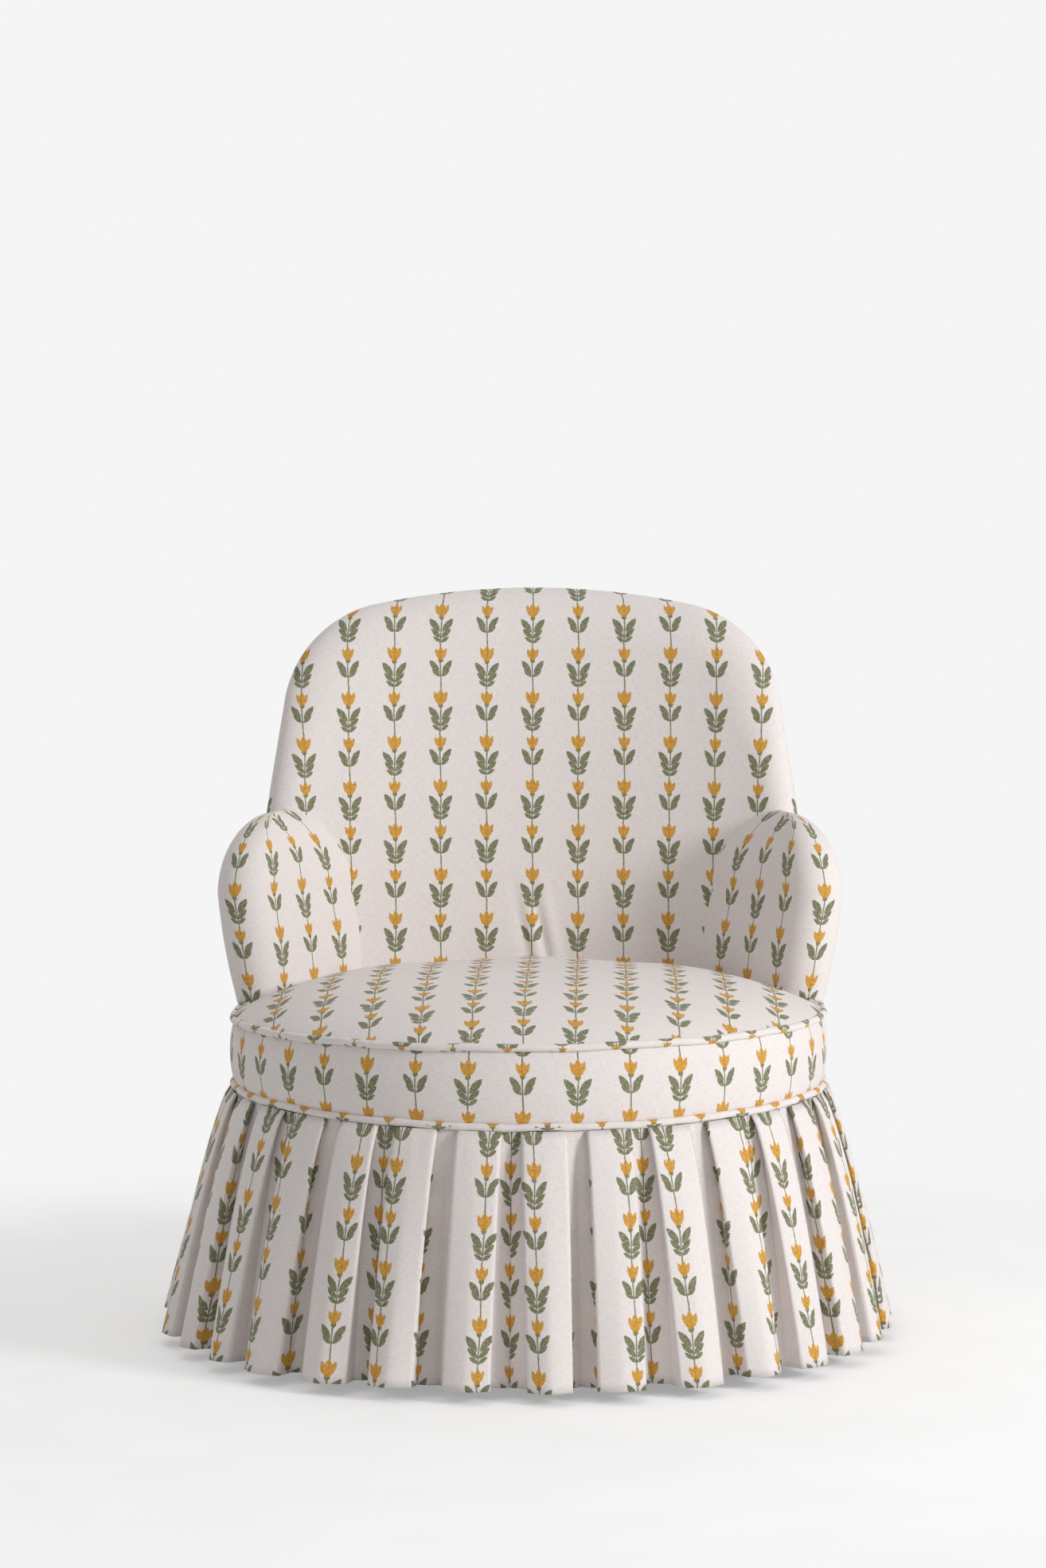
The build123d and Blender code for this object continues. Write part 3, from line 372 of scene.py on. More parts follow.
@dataclass(frozen=True)
class PrintedCloth:
    """Linen-like cloth with upright stripes of tulips and leaves, drawn on the cloth's own map in metres."""

    name: str = "printed linen"
    ground: Colour = (237, 230, 228)
    ground_shade: Colour = (228, 220, 217)
    ochre: Colour = (214, 158, 36)
    ochre_deep: Colour = (190, 130, 20)
    sage: Colour = (127, 131, 92)
    sage_deep: Colour = (98, 100, 66)
    column_pitch: float = STRIPE_PITCH
    repeat: float = 0.108
    stem_half: float = 0.0008
    sway: float = 0.0007
    edge: float = 0.00035
    wander: float = 0.0016
    wander_scale: float = 240.0
    tall: Bloom = Bloom(
        height=0.0285,
        size=0.86,
        leaves=(
            Leaf(0.0080, 0.0196, 0.66, 0.0106),
            Leaf(0.0062, 0.0296, 0.80, 0.0082),
            Leaf(0.0048, 0.0372, 0.95, 0.0062),
        ),
    )
    short: Bloom = Bloom(
        height=-0.0255,
        size=0.72,
        leaves=(Leaf(0.0076, 0.0165, 0.62, 0.0098), Leaf(0.0056, 0.0243, 0.85, 0.0068)),
    )
    middle_petal: Pair = (0.0112, 0.0048)
    side_petal: Pair = (0.0106, 0.0037)
    side_petal_out: float = 0.0050
    side_petal_drop: float = 0.0012
    side_petal_turn: float = 0.40
    cup: Pair = (0.0036, 0.0030)
    cup_drop: float = 0.0114
    leaf_width: float = 0.38
    ground_range: Pair = (0.35, 0.62)
    sage_range: Pair = (0.35, 0.65)
    ochre_range: Pair = (0.3, 0.62)
    dry_range: Pair = (0.25, 0.5)
    dry_cover: Pair = (0.62, 0.96)
    rough_range: Pair = (0.3, 0.7)
    roughness: Pair = (0.74, 0.9)
    slub_scale: float = 130.0
    slub_squeeze: float = 6.0
    wash_scale: float = 330.0
    fine_detail: float = 3.0
    dry_scale: float = 620.0
    thread_pitch: float = 0.0016
    thread_height: float = 0.16
    slub_height: float = 2.0
    bump: float = 0.0006
    bump_strength: float = 0.65
    specular: float = 0.28
    sheen: float = 0.12
    sheen_roughness: float = 0.45

    def petal_group(self) -> NodeTree:
        """Makes the node group that measures how far a point lies outside one pointed petal.

        Returns:
            The group.
        """
        tree = bpy.data.node_groups.new("petal", "ShaderNodeTree")
        for name in ("X", "Y", "Centre X", "Centre Y", "Turn", "Half Length", "Half Width"):
            tree.interface.new_socket(name, in_out="INPUT", socket_type="NodeSocketFloat")
        tree.interface.new_socket("Distance", in_out="OUTPUT", socket_type="NodeSocketFloat")
        desk = NodeDesk(tree)
        given = desk.add("NodeGroupInput").outputs
        x = desk.math("SUBTRACT", given["X"], given["Centre X"])
        y = desk.math("SUBTRACT", given["Y"], given["Centre Y"])
        sine = desk.math("SINE", given["Turn"])
        cosine = desk.math("COSINE", given["Turn"])
        along = desk.total(desk.times(x, sine), desk.times(y, cosine))
        across = desk.math("SUBTRACT", desk.times(x, cosine), desk.times(y, sine))
        length_square = desk.math("POWER", given["Half Length"], 2.0)
        width_square = desk.math("POWER", given["Half Width"], 2.0)
        double_width = desk.times(given["Half Width"], 2.0)
        arc = desk.math("DIVIDE", desk.total(length_square, width_square), double_width)
        reach = desk.math("SUBTRACT", desk.total(desk.math("ABSOLUTE", across), arc), given["Half Width"])
        squares = desk.total(desk.math("POWER", along, 2.0), desk.math("POWER", reach, 2.0))
        distance = desk.math("SUBTRACT", desk.math("SQRT", squares), arc)
        desk.feed(desk.add("NodeGroupOutput").inputs[0], distance)
        return tree

    def drawing(self, desk: NodeDesk, u: Value, v: Value) -> tuple[Socket, Socket]:
        """Draws the stripes, every second one dropped by half a repeat.

        Args:
            desk: the material's desk.
            u: the place across the cloth.
            v: the place up the cloth.

        Returns:
            How much of the point the flowers cover, and how much the stems and leaves do.
        """
        petals = self.petal_group()
        across = desk.total(desk.math("DIVIDE", u, self.column_pitch), 0.5)
        x = desk.times(desk.math("SUBTRACT", desk.math("FRACT", across), 0.5), self.column_pitch)
        odd = desk.times(desk.math("FLOORED_MODULO", desk.math("FLOOR", across), 2.0), 0.5)
        up = desk.total(desk.math("DIVIDE", v, self.repeat), odd)
        y = desk.times(desk.math("SUBTRACT", desk.math("FRACT", up), 0.5), self.repeat)
        side = desk.math("ABSOLUTE", x)

        def petal(centre: Pair, turn: float, half: Pair) -> Socket:
            """Draws one petal or leaf.

            Args:
                centre: its middle.
                turn: how far it leans out.
                half: its half length and half width.

            Returns:
                How much of it covers the point.
            """
            node = desk.add("ShaderNodeGroup", node_tree=petals)
            for socket, value in zip(node.inputs, (side, y, *centre, turn, *half)):
                desk.feed(socket, value)
            return desk.ramp(node.outputs[0], -self.edge, self.edge, 1.0, 0.0)

        sway = desk.times(desk.math("SINE", desk.times(y, 2 * math.pi / self.repeat)), self.sway)
        off_stem = desk.math("ABSOLUTE", desk.math("SUBTRACT", x, sway))
        flowers = []
        leaves = [desk.ramp(off_stem, self.stem_half - self.edge, self.stem_half + self.edge, 1.0, 0.0)]
        for bloom in (self.tall, self.short):
            beside = (self.side_petal_out * bloom.size, bloom.height - self.side_petal_drop)
            flowers.append(petal((0.0, bloom.height), 0.0, bloom.sized(self.middle_petal)))
            flowers.append(petal(beside, self.side_petal_turn, bloom.sized(self.side_petal)))
            leaves.append(petal((0.0, bloom.height - self.cup_drop * bloom.size), 0.0, self.cup))
            for leaf in bloom.leaves:
                half = (leaf.half, self.leaf_width * leaf.half)
                leaves.append(petal((leaf.out, bloom.height - leaf.down), leaf.turn, half))
        return desk.largest(*flowers), desk.largest(*leaves)

    def build(self) -> Material:
        """Makes the cloth's material: the ground, the print and the weave.

        Returns:
            The material.
        """
        material, desk, shader = new_material(self.name)
        place = desk.add("ShaderNodeUVMap", uv_map=CLOTH_MAP).outputs["UV"]
        u, v, _ = desk.parts(place)
        shake = desk.add("ShaderNodeTexNoise", {"Vector": place, "Scale": self.wander_scale})
        shaken = []
        for plain, stray in zip((u, v), desk.parts(shake.outputs["Color"])):
            shaken.append(desk.math("MULTIPLY_ADD", desk.math("SUBTRACT", stray, 0.5), self.wander, plain))
        flower, leaf = self.drawing(desk, *shaken)

        upright = desk.vector(desk.times(u, self.slub_squeeze), v)
        level = desk.vector(u, desk.times(v, self.slub_squeeze))
        both = [desk.noise(way, self.slub_scale, self.fine_detail) for way in (upright, level)]
        slub = desk.times(desk.total(*both), 0.5)
        clean = desk.ramp(slub, *self.ground_range)
        ground = desk.mix(clean, linear(*self.ground_shade), linear(*self.ground))
        wash = desk.noise(place, self.wash_scale, self.fine_detail)
        green = desk.mix(desk.ramp(wash, *self.sage_range), linear(*self.sage_deep), linear(*self.sage))
        gold = desk.mix(desk.ramp(wash, *self.ochre_range), linear(*self.ochre_deep), linear(*self.ochre))
        dry = desk.ramp(desk.noise(place, self.dry_scale), *self.dry_range, *self.dry_cover)
        colour = desk.mix(desk.times(leaf, dry), ground, green)
        colour = desk.mix(desk.times(flower, dry), colour, gold)
        desk.fill(shader, {
            "Base Color": colour,
            "Roughness": desk.ramp(slub, *self.rough_range, *self.roughness),
            "Specular IOR Level": self.specular,
            "Sheen Weight": self.sheen,
            "Sheen Roughness": self.sheen_roughness,
        })

        thread = 2 * math.pi / self.thread_pitch
        warp = desk.math("SINE", desk.times(u, thread))
        weft = desk.math("SINE", desk.times(v, thread))
        slubs = desk.times(slub, self.slub_height)
        height = desk.math("MULTIPLY_ADD", desk.times(warp, weft), self.thread_height, slubs)
        desk.relief(shader, height, self.bump, self.bump_strength)
        return material


def grid_object(
    name: str,
    points: np.ndarray,
    cloth: np.ndarray,
    keep: np.ndarray | None = None,
    flip: bool = False,
) -> Piece:
    """Makes a mesh from rows of points, merged where points meet.

    Args:
        name: the piece's name.
        points: rows by columns by three, in metres.
        cloth: rows by columns by two, the place on the cloth in metres.
        keep: the squares that stay, rows less one by columns less one.
        flip: turns the squares to face the other way.

    Returns:
        The new object.
    """
    rows, columns = points.shape[:2]
    index = np.arange(rows * columns).reshape(rows, columns)
    corners = [index[:-1, :-1], index[:-1, 1:], index[1:, 1:], index[1:, :-1]]
    squares = np.stack(corners[::-1] if flip else corners, axis=-1)
    chosen = squares.reshape(-1, 4) if keep is None else squares[keep]
    mesh = bpy.data.meshes.new(name)
    mesh.from_pydata(points.reshape(-1, 3).tolist(), [], chosen.tolist())
    layer = mesh.uv_layers.new(name=CLOTH_MAP)
    layer.data.foreach_set("uv", cloth.reshape(-1, 2)[chosen.reshape(-1)].astype(np.float32).ravel())
    return tidy_object(name, mesh)


def add_object(name: str, data: bpy.types.ID) -> Piece:
    """Puts a new object in the scene.

    Args:
        name: its name.
        data: its mesh, curve, lamp or camera.

    Returns:
        The object.
    """
    piece = bpy.data.objects.new(name, data)
    bpy.context.scene.collection.objects.link(piece)
    return piece


def tidy_object(name: str, mesh: Mesh) -> Piece:
    """Merges a mesh's doubled points, drops loose ones, smooths it and puts it in the scene.

    Args:
        name: the piece's name.
        mesh: the mesh that becomes the piece.

    Returns:
        The new object.
    """
    work = bmesh.new()
    work.from_mesh(mesh)
    bmesh.ops.remove_doubles(work, verts=work.verts, dist=MERGE_DISTANCE)
    bmesh.ops.dissolve_degenerate(work, edges=work.edges, dist=FLAT_DISTANCE)
    bmesh.ops.delete(work, geom=[vert for vert in work.verts if not vert.link_faces], context="VERTS")
    work.to_mesh(mesh)
    work.free()
    mesh.shade_smooth()
    return add_object(name, mesh)


def flat_cut(piece: Piece) -> tuple[Pair, float]:
    """Measures a cover's flat cut from its map, which lies in metres.

    Args:
        piece: the cover, before it gets its wall.

    Returns:
        The cut's width and length, and the cloth's area.
    """
    places = np.empty(len(piece.data.loops) * 2, dtype=np.float32)
    piece.data.uv_layers[CLOTH_MAP].data.foreach_get("uv", places)
    width, length = np.ptp(places.reshape(-1, 2), axis=0)
    area = sum(polygon.area for polygon in piece.data.polygons)
    LOG.info("%s: cut %.3f by %.3f m, %.4f square metres", piece.name, width, length, area)
    return (float(width), float(length)), area


def thicken(piece: Piece, thickness: float) -> None:
    """Gives a cover its wall, inwards from the face that shows.

    Args:
        piece: the cover.
        thickness: the wall's thickness.
    """
    wall = piece.modifiers.new("cloth wall", "SOLIDIFY")
    wall.thickness = thickness
    wall.offset = -1.0


def dress(piece: Piece, material: Material, *nodes: str) -> Piece:
    """Gives a piece its finish and its body, and hides the CAD nodes that it stands for.

    Args:
        piece: the finished piece.
        material: its material.
        nodes: the CAD nodes that it replaces.

    Returns:
        The same piece.
    """
    if not piece.data.materials:
        piece.data.materials.append(material)
    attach(piece, BODY)
    if nodes:
        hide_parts(*nodes)
    LOG.info("%s: %d faces", piece.name, len(piece.data.polygons))
    return piece


def upholster(piece: Piece, cloth: Material, *nodes: str) -> None:
    """Makes a tightly padded cover of a piece.

    Args:
        piece: the face that shows.
        cloth: its material.
        nodes: the CAD nodes that it replaces.
    """
    thicken(piece, COVER_WALL)
    dress(piece, cloth, *nodes)


def smooth_step(value: np.ndarray) -> np.ndarray:
    """Goes smoothly from 0 to 1 as the value does, and stays there outside."""
    share = np.clip(value, 0.0, 1.0)
    return share * share * (3.0 - 2.0 * share)


def arc(middle: Pair, radius: float, turns: np.ndarray) -> np.ndarray:
    """Places points round a middle, one for each turn."""
    return np.array(middle) + radius * np.column_stack([np.cos(turns), np.sin(turns)])


def run_lengths(points: np.ndarray) -> np.ndarray:
    """Measures along rows of points.

    Args:
        points: the rows, each row's points on the next to last axis.

    Returns:
        Each point's length from the first one of its row.
    """
    steps = np.linalg.norm(np.diff(points, axis=-2), axis=-1)
    start = np.zeros((*steps.shape[:-1], 1))
    return np.concatenate([start, np.cumsum(steps, axis=-1)], axis=-1)


def respace(points: np.ndarray, count: int) -> np.ndarray:
    """Puts evenly spaced points along a line of points.

    Args:
        points: the line's points.
        count: how many points there are to be.

    Returns:
        The new points.
    """
    lengths = run_lengths(points)
    wanted = np.linspace(0.0, lengths[-1], count)
    return np.stack([np.interp(wanted, lengths, points[:, axis]) for axis in range(points.shape[1])], axis=-1)


@dataclass(frozen=True)
class SeatPlan:
    """The seat's edge from above: half a circle in front, straight sides, round corners and a bowed rear."""

    radius: float = 0.345
    rear: float = 0.345
    corner_radius: float = 0.150
    rear_radius: float = 0.620
    side_rise: float = 0.0080

    @property
    def corner_x(self) -> float:
        """The middle of a rear corner's arc, from the middle of the seat."""
        return self.radius - self.corner_radius

    @property
    def rear_middle(self) -> float:
        """The middle of the rear's bow, along the depth."""
        return self.rear - self.rear_radius

    @property
    def corner_y(self) -> float:
        """The middle of a rear corner's arc, along the depth."""
        return self.rear_middle + math.sqrt((self.rear_radius - self.corner_radius) ** 2 - self.corner_x**2)

    @property
    def corner_turn(self) -> float:
        """How far round the rear corner's arc goes."""
        return math.atan2(self.corner_y - self.rear_middle, self.corner_x)

    @property
    def length(self) -> float:
        """The length all round the edge."""
        return 2 * sum(self.runs())

    def runs(self) -> tuple[float, ...]:
        """Measures one half of the edge.

        Returns:
            The lengths of the front, side, corner and rear.
        """
        quarter = math.pi / 2
        rear = self.rear_radius * (quarter - self.corner_turn)
        return self.radius * quarter, self.corner_y, self.corner_radius * self.corner_turn, rear

    def edge(self, along: np.ndarray) -> tuple[np.ndarray, np.ndarray]:
        """Finds places on the edge.

        Args:
            along: lengths from the middle of the front towards +X, right round.

        Returns:
            The points and the outward directions, each with two columns.
        """
        front, side, corner, _ = self.runs()
        wrapped = np.mod(along, self.length)
        left = wrapped > self.length / 2
        half = np.where(left, self.length - wrapped, wrapped)
        front_angle = half / self.radius - math.pi / 2
        corner_angle = (half - front - side) / self.corner_radius
        rear_angle = self.corner_turn + (half - front - side - corner) / self.rear_radius
        zones = [half < front, half < front + side, half < front + side + corner]
        angle = np.select(zones, [front_angle, 0.0 * half, corner_angle], rear_angle)
        reach = np.select(zones, [self.radius, self.radius, self.corner_radius], self.rear_radius)
        middle_x = np.select(zones, [0.0, 0.0, self.corner_x], 0.0)
        middle_y = np.select(zones, [0.0 * half, half - front, self.corner_y + 0.0 * half], self.rear_middle)
        outward = np.stack([np.cos(angle), np.sin(angle)], axis=-1)
        points = np.stack([middle_x, middle_y], axis=-1) + outward * reach[..., None]
        mirror = np.where(left, -1.0, 1.0)
        points[..., 0] *= mirror
        outward[..., 0] *= mirror
        return points, outward

    def rise(self, y: np.ndarray) -> np.ndarray:
        """How much higher the lower seam lies than at the middle of the front, for places of some depth."""
        ahead = 1.0 - np.clip(y / self.radius + 1.0, 0.0, 1.0)
        return self.side_rise * (1.0 - ahead**2)

    def rear_y(self, x: np.ndarray, grown: np.ndarray) -> np.ndarray:
        """Finds the rear edge's depth.

        Args:
            x: places across the chair.
            grown: how far the edge stands outside the plan there.

        Returns:
            The depth at each place.
        """
        across = np.abs(x)
        bow = self.rear_middle + np.sqrt(np.maximum((self.rear_radius + grown) ** 2 - across**2, 0.0))
        reach = np.maximum((self.corner_radius + grown) ** 2 - (across - self.corner_x) ** 2, 0.0)
        corner = self.corner_y + np.sqrt(reach)
        return np.where(across > (self.rear_radius + grown) * math.cos(self.corner_turn), corner, bow)


@dataclass
class Arms:
    """The two arms: soft wings with a round nose, a slanting inside and a full top, tucked into the back."""

    base: float = 0.3757
    shoulder_z: float = 0.505
    top_z: float = 0.5985
    rear_y: float = 0.225
    base_nose: Place = (0.3185, 0.087, 0.0275)
    shoulder_nose: Place = (0.336, 0.088, 0.033)
    base_rear: Pair = (0.190, 0.325)
    shoulder_rear: Pair = (0.213, 0.314)
    ridge_rear_x: float = 0.290
    ridge_front: Pair = (0.306, 0.138)
    inside_fullness: float = 1.72
    outside_fullness: float = 2.0
    wall_puff: float = 0.003
    panel_front: float = 0.112
    inside_points: int = 64
    nose_points: int = 56
    outside_points: int = 44
    turned_points: int = 8
    foot_step: int = 3
    slide_rows: float = 0.75
    wall_rows: int = 24
    dome_rows: int = 30

    def outline(self, nose: Place, rear: Pair) -> np.ndarray:
        """Draws the right arm from above at one height.

        Args:
            nose: the middle and the radius of its round front.
            rear: its inside and outside at the rear end.

        Returns:
            Points (x, y) from the rear along the inside, round the nose and back along the outside.
        """
        x, y, radius = nose
        turns = []
        for end, side in zip(rear, (1, -1)):
            reach = math.hypot(end - x, self.rear_y - y)
            towards = math.atan2(self.rear_y - y, end - x)
            turns.append(towards + side * math.acos(radius / reach))
        front = arc((x, y), radius, np.linspace(turns[0], turns[1] + 2 * math.pi, self.nose_points))
        ahead = np.linspace(0.0, 1.0, self.inside_points, endpoint=False)[:, None]
        inside = np.array([[rear[0], self.rear_y]]) * (1 - ahead) + front[:1] * ahead
        behind = np.linspace(0.0, 1.0, self.outside_points + 1)[1:, None]
        outside = front[-1:] * (1 - behind) + np.array([[rear[1], self.rear_y]]) * behind
        return np.concatenate([inside, front, outside])

    def ridge(self) -> np.ndarray:
        """Finds the place on the arm's top line that each point of the outline rises to.

        Returns:
            The places (x, y).
        """
        inside = np.linspace(0.0, 1.0, self.inside_points)
        outside = np.linspace(1.0, 0.0, self.outside_points)
        share = np.concatenate([inside, np.ones(self.nose_points), outside])
        rear = np.array([self.ridge_rear_x, self.rear_y])
        return rear + (np.array(self.ridge_front) - rear) * share[:, None]

    def surface(self) -> np.ndarray:
        """Lays the right arm's outlines from the base up over the shoulder to the top line.

        Returns:
            Points with heights as rows.
        """
        foot = self.outline(self.base_nose, self.base_rear)
        shoulder = self.outline(self.shoulder_nose, self.shoulder_rear)
        ahead = np.gradient(shoulder, axis=0)
        outward = np.column_stack([ahead[:, 1], -ahead[:, 0]])
        outward /= np.linalg.norm(outward, axis=1, keepdims=True)
        rows = []
        for share in np.linspace(0.0, 1.0, self.wall_rows, endpoint=False):
            flat = foot + (shoulder - foot) * share + outward * self.wall_puff * math.sin(math.pi * share)
            height = self.base + (self.shoulder_z - self.base) * share
            rows.append(np.column_stack([flat, np.full(len(flat), height)]))
        across = np.linspace(0.0, 1.0, self.nose_points)
        nose_power = self.inside_fullness + (self.outside_fullness - self.inside_fullness) * across
        power = np.concatenate([
            np.full(self.inside_points, self.inside_fullness),
            nose_power,
            np.full(self.outside_points, self.outside_fullness),
        ])
        ridge = self.ridge()
        for turn in np.linspace(0.0, math.pi / 2, self.dome_rows):
            spread = np.maximum(math.cos(turn), 0.0) ** (2 / power)
            rise = math.sin(turn) ** (2 / power)
            flat = ridge + (shoulder - ridge) * spread[:, None]
            rows.append(np.column_stack([flat, self.shoulder_z + (self.top_z - self.shoulder_z) * rise]))
        return np.array(rows)

    def cloth_places(self, points: np.ndarray) -> tuple[np.ndarray, np.ndarray]:
        """Spreads the arm on the cloth.

        Args:
            points: the right arm's surface.

        Returns:
            The place of the inside, nose and top, and that of the outside panel.
        """
        up = run_lengths(points.transpose(1, 0, 2)).T
        round_nose = run_lengths(points[self.wall_rows])
        slant = (points[self.wall_rows, self.inside_points, 1] - self.rear_y) / round_nose[self.inside_points]
        across = (points[..., 1] - self.rear_y) / slant
        row = np.arange(len(points)) - self.wall_rows
        over = smooth_step(row / (self.slide_rows * self.dome_rows))[:, None]
        slide = (round_nose - across) * over
        past_inside = np.arange(points.shape[1]) - self.inside_points
        turned = self.nose_points - self.turned_points
        held = (1.0 - np.clip(past_inside / turned, 0.0, 1.0)) ** 2
        along = round_nose - np.where(past_inside > 0, slide[:, [self.inside_points]] * held, slide)
        outer = past_inside >= turned
        along = np.where(outer & (row[:, None] >= 0), across, along)
        height = np.where(outer[None], 2 * up[-1:] - up, up)
        cover = np.stack([along, self.base + height], axis=-1)
        panel = np.stack([np.broadcast_to(round_nose, up.shape), points[..., 2]], axis=-1)
        return cover, panel

    def build(self, cloth: Material) -> None:
        """Makes both arms' covers and their outside panels, and dresses them.

        Args:
            cloth: the covers' material.
        """
        points = self.surface()
        cover_place, panel_place = self.cloth_places(points)
        centre = (points[:-1, :-1] + points[1:, 1:]) / 2
        low = np.arange(len(points) - 1)[:, None] < self.wall_rows
        first_outer = self.inside_points + self.nose_points - self.turned_points
        outer = np.arange(points.shape[1] - 1)[None] >= first_outer
        panel = low & outer & (centre[..., 1] > self.panel_front)
        turned = low & outer & ~panel
        for name, mirror in (("right", 1.0), ("left", -1.0)):
            placed = points * np.array([mirror, 1.0, 1.0])
            flip = mirror < 0
            zones = [(cover_place, ~panel & ~turned), (panel_place, turned)]
            cover = self.joined(f"arm_cover_{name}_cloth", placed, zones, flip)
            upholster(cover, cloth, f"arm_cover_{name}", f"arm_foam_{name}")
            skin = grid_object(f"outside_arm_{name}_cloth", placed, panel_place, panel, flip)
            flat, area = flat_cut(skin)
            thicken(skin, COVER_WALL)
            dress(skin, cloth, f"outside_arm_cover_{name}")

    def joined(
        self,
        name: str,
        points: np.ndarray,
        zones: list[tuple[np.ndarray, np.ndarray]],
        flip: bool,
    ) -> Piece:
        """Makes one cover from zones that lie differently on the cloth.

        Args:
            name: the piece's name.
            points: the surface's points.
            zones: each zone's place on the cloth and its squares.
            flip: turns the squares to face the other way.

        Returns:
            The cover as one mesh.
        """
        work = bmesh.new()
        for cloth, keep in zones:
            part = grid_object(name, points, cloth, keep, flip)
            work.from_mesh(part.data)
            bpy.data.meshes.remove(part.data)
        mesh = bpy.data.meshes.new(name)
        work.to_mesh(mesh)
        work.free()
        return tidy_object(name, mesh)

    def room(self, x: np.ndarray, y: np.ndarray) -> np.ndarray:
        """How far places on the seat lie from the right arm's foot, below 0 underneath it.

        Args:
            x: places across the chair, from the middle out.
            y: the same places' depths.

        Returns:
            The distances.
        """
        line = self.outline(self.base_nose, self.base_rear)[:: self.foot_step]
        steps = np.hypot(x[..., None] - line[:, 0], y[..., None] - line[:, 1])
        nearest = steps.argmin(axis=-1)
        ahead = np.gradient(line, axis=0)[nearest]
        aside = (x - line[nearest, 0]) * ahead[..., 1] - (y - line[nearest, 1]) * ahead[..., 0]
        return np.where(aside < 0, -1.0, 1.0) * steps.min(axis=-1)

    def seam(self, back: "Back") -> np.ndarray:
        """Finds the line where the right arm meets the inside of the back.

        Args:
            back: the back that the arm runs into.

        Returns:
            Points from the seat up the inside of the arm and over its top.
        """
        points = self.surface()
        nose = self.inside_points + self.nose_points // 2
        ahead = back.face(points[..., 0], points[..., 2]) - points[..., 1]
        inside, outside = [], []
        for row in range(len(points)):
            for line, order in ((inside, range(nose, 0, -1)), (outside, range(nose, points.shape[1] - 1))):
                step = -1 if line is inside else 1
                for column in order:
                    here, there = ahead[row, column], ahead[row, column + step]
                    if here > 0 >= there:
                        share = here / (here - there)
                        line.append(points[row, column] * (1 - share) + points[row, column + step] * share)
                        break
        return np.array(inside + outside[::-1])


@dataclass(frozen=True)
class Fold:
    """One fold in the back's cover: its place from the middle, its half width and its pull forward."""

    middle: float
    half: float
    pull: float


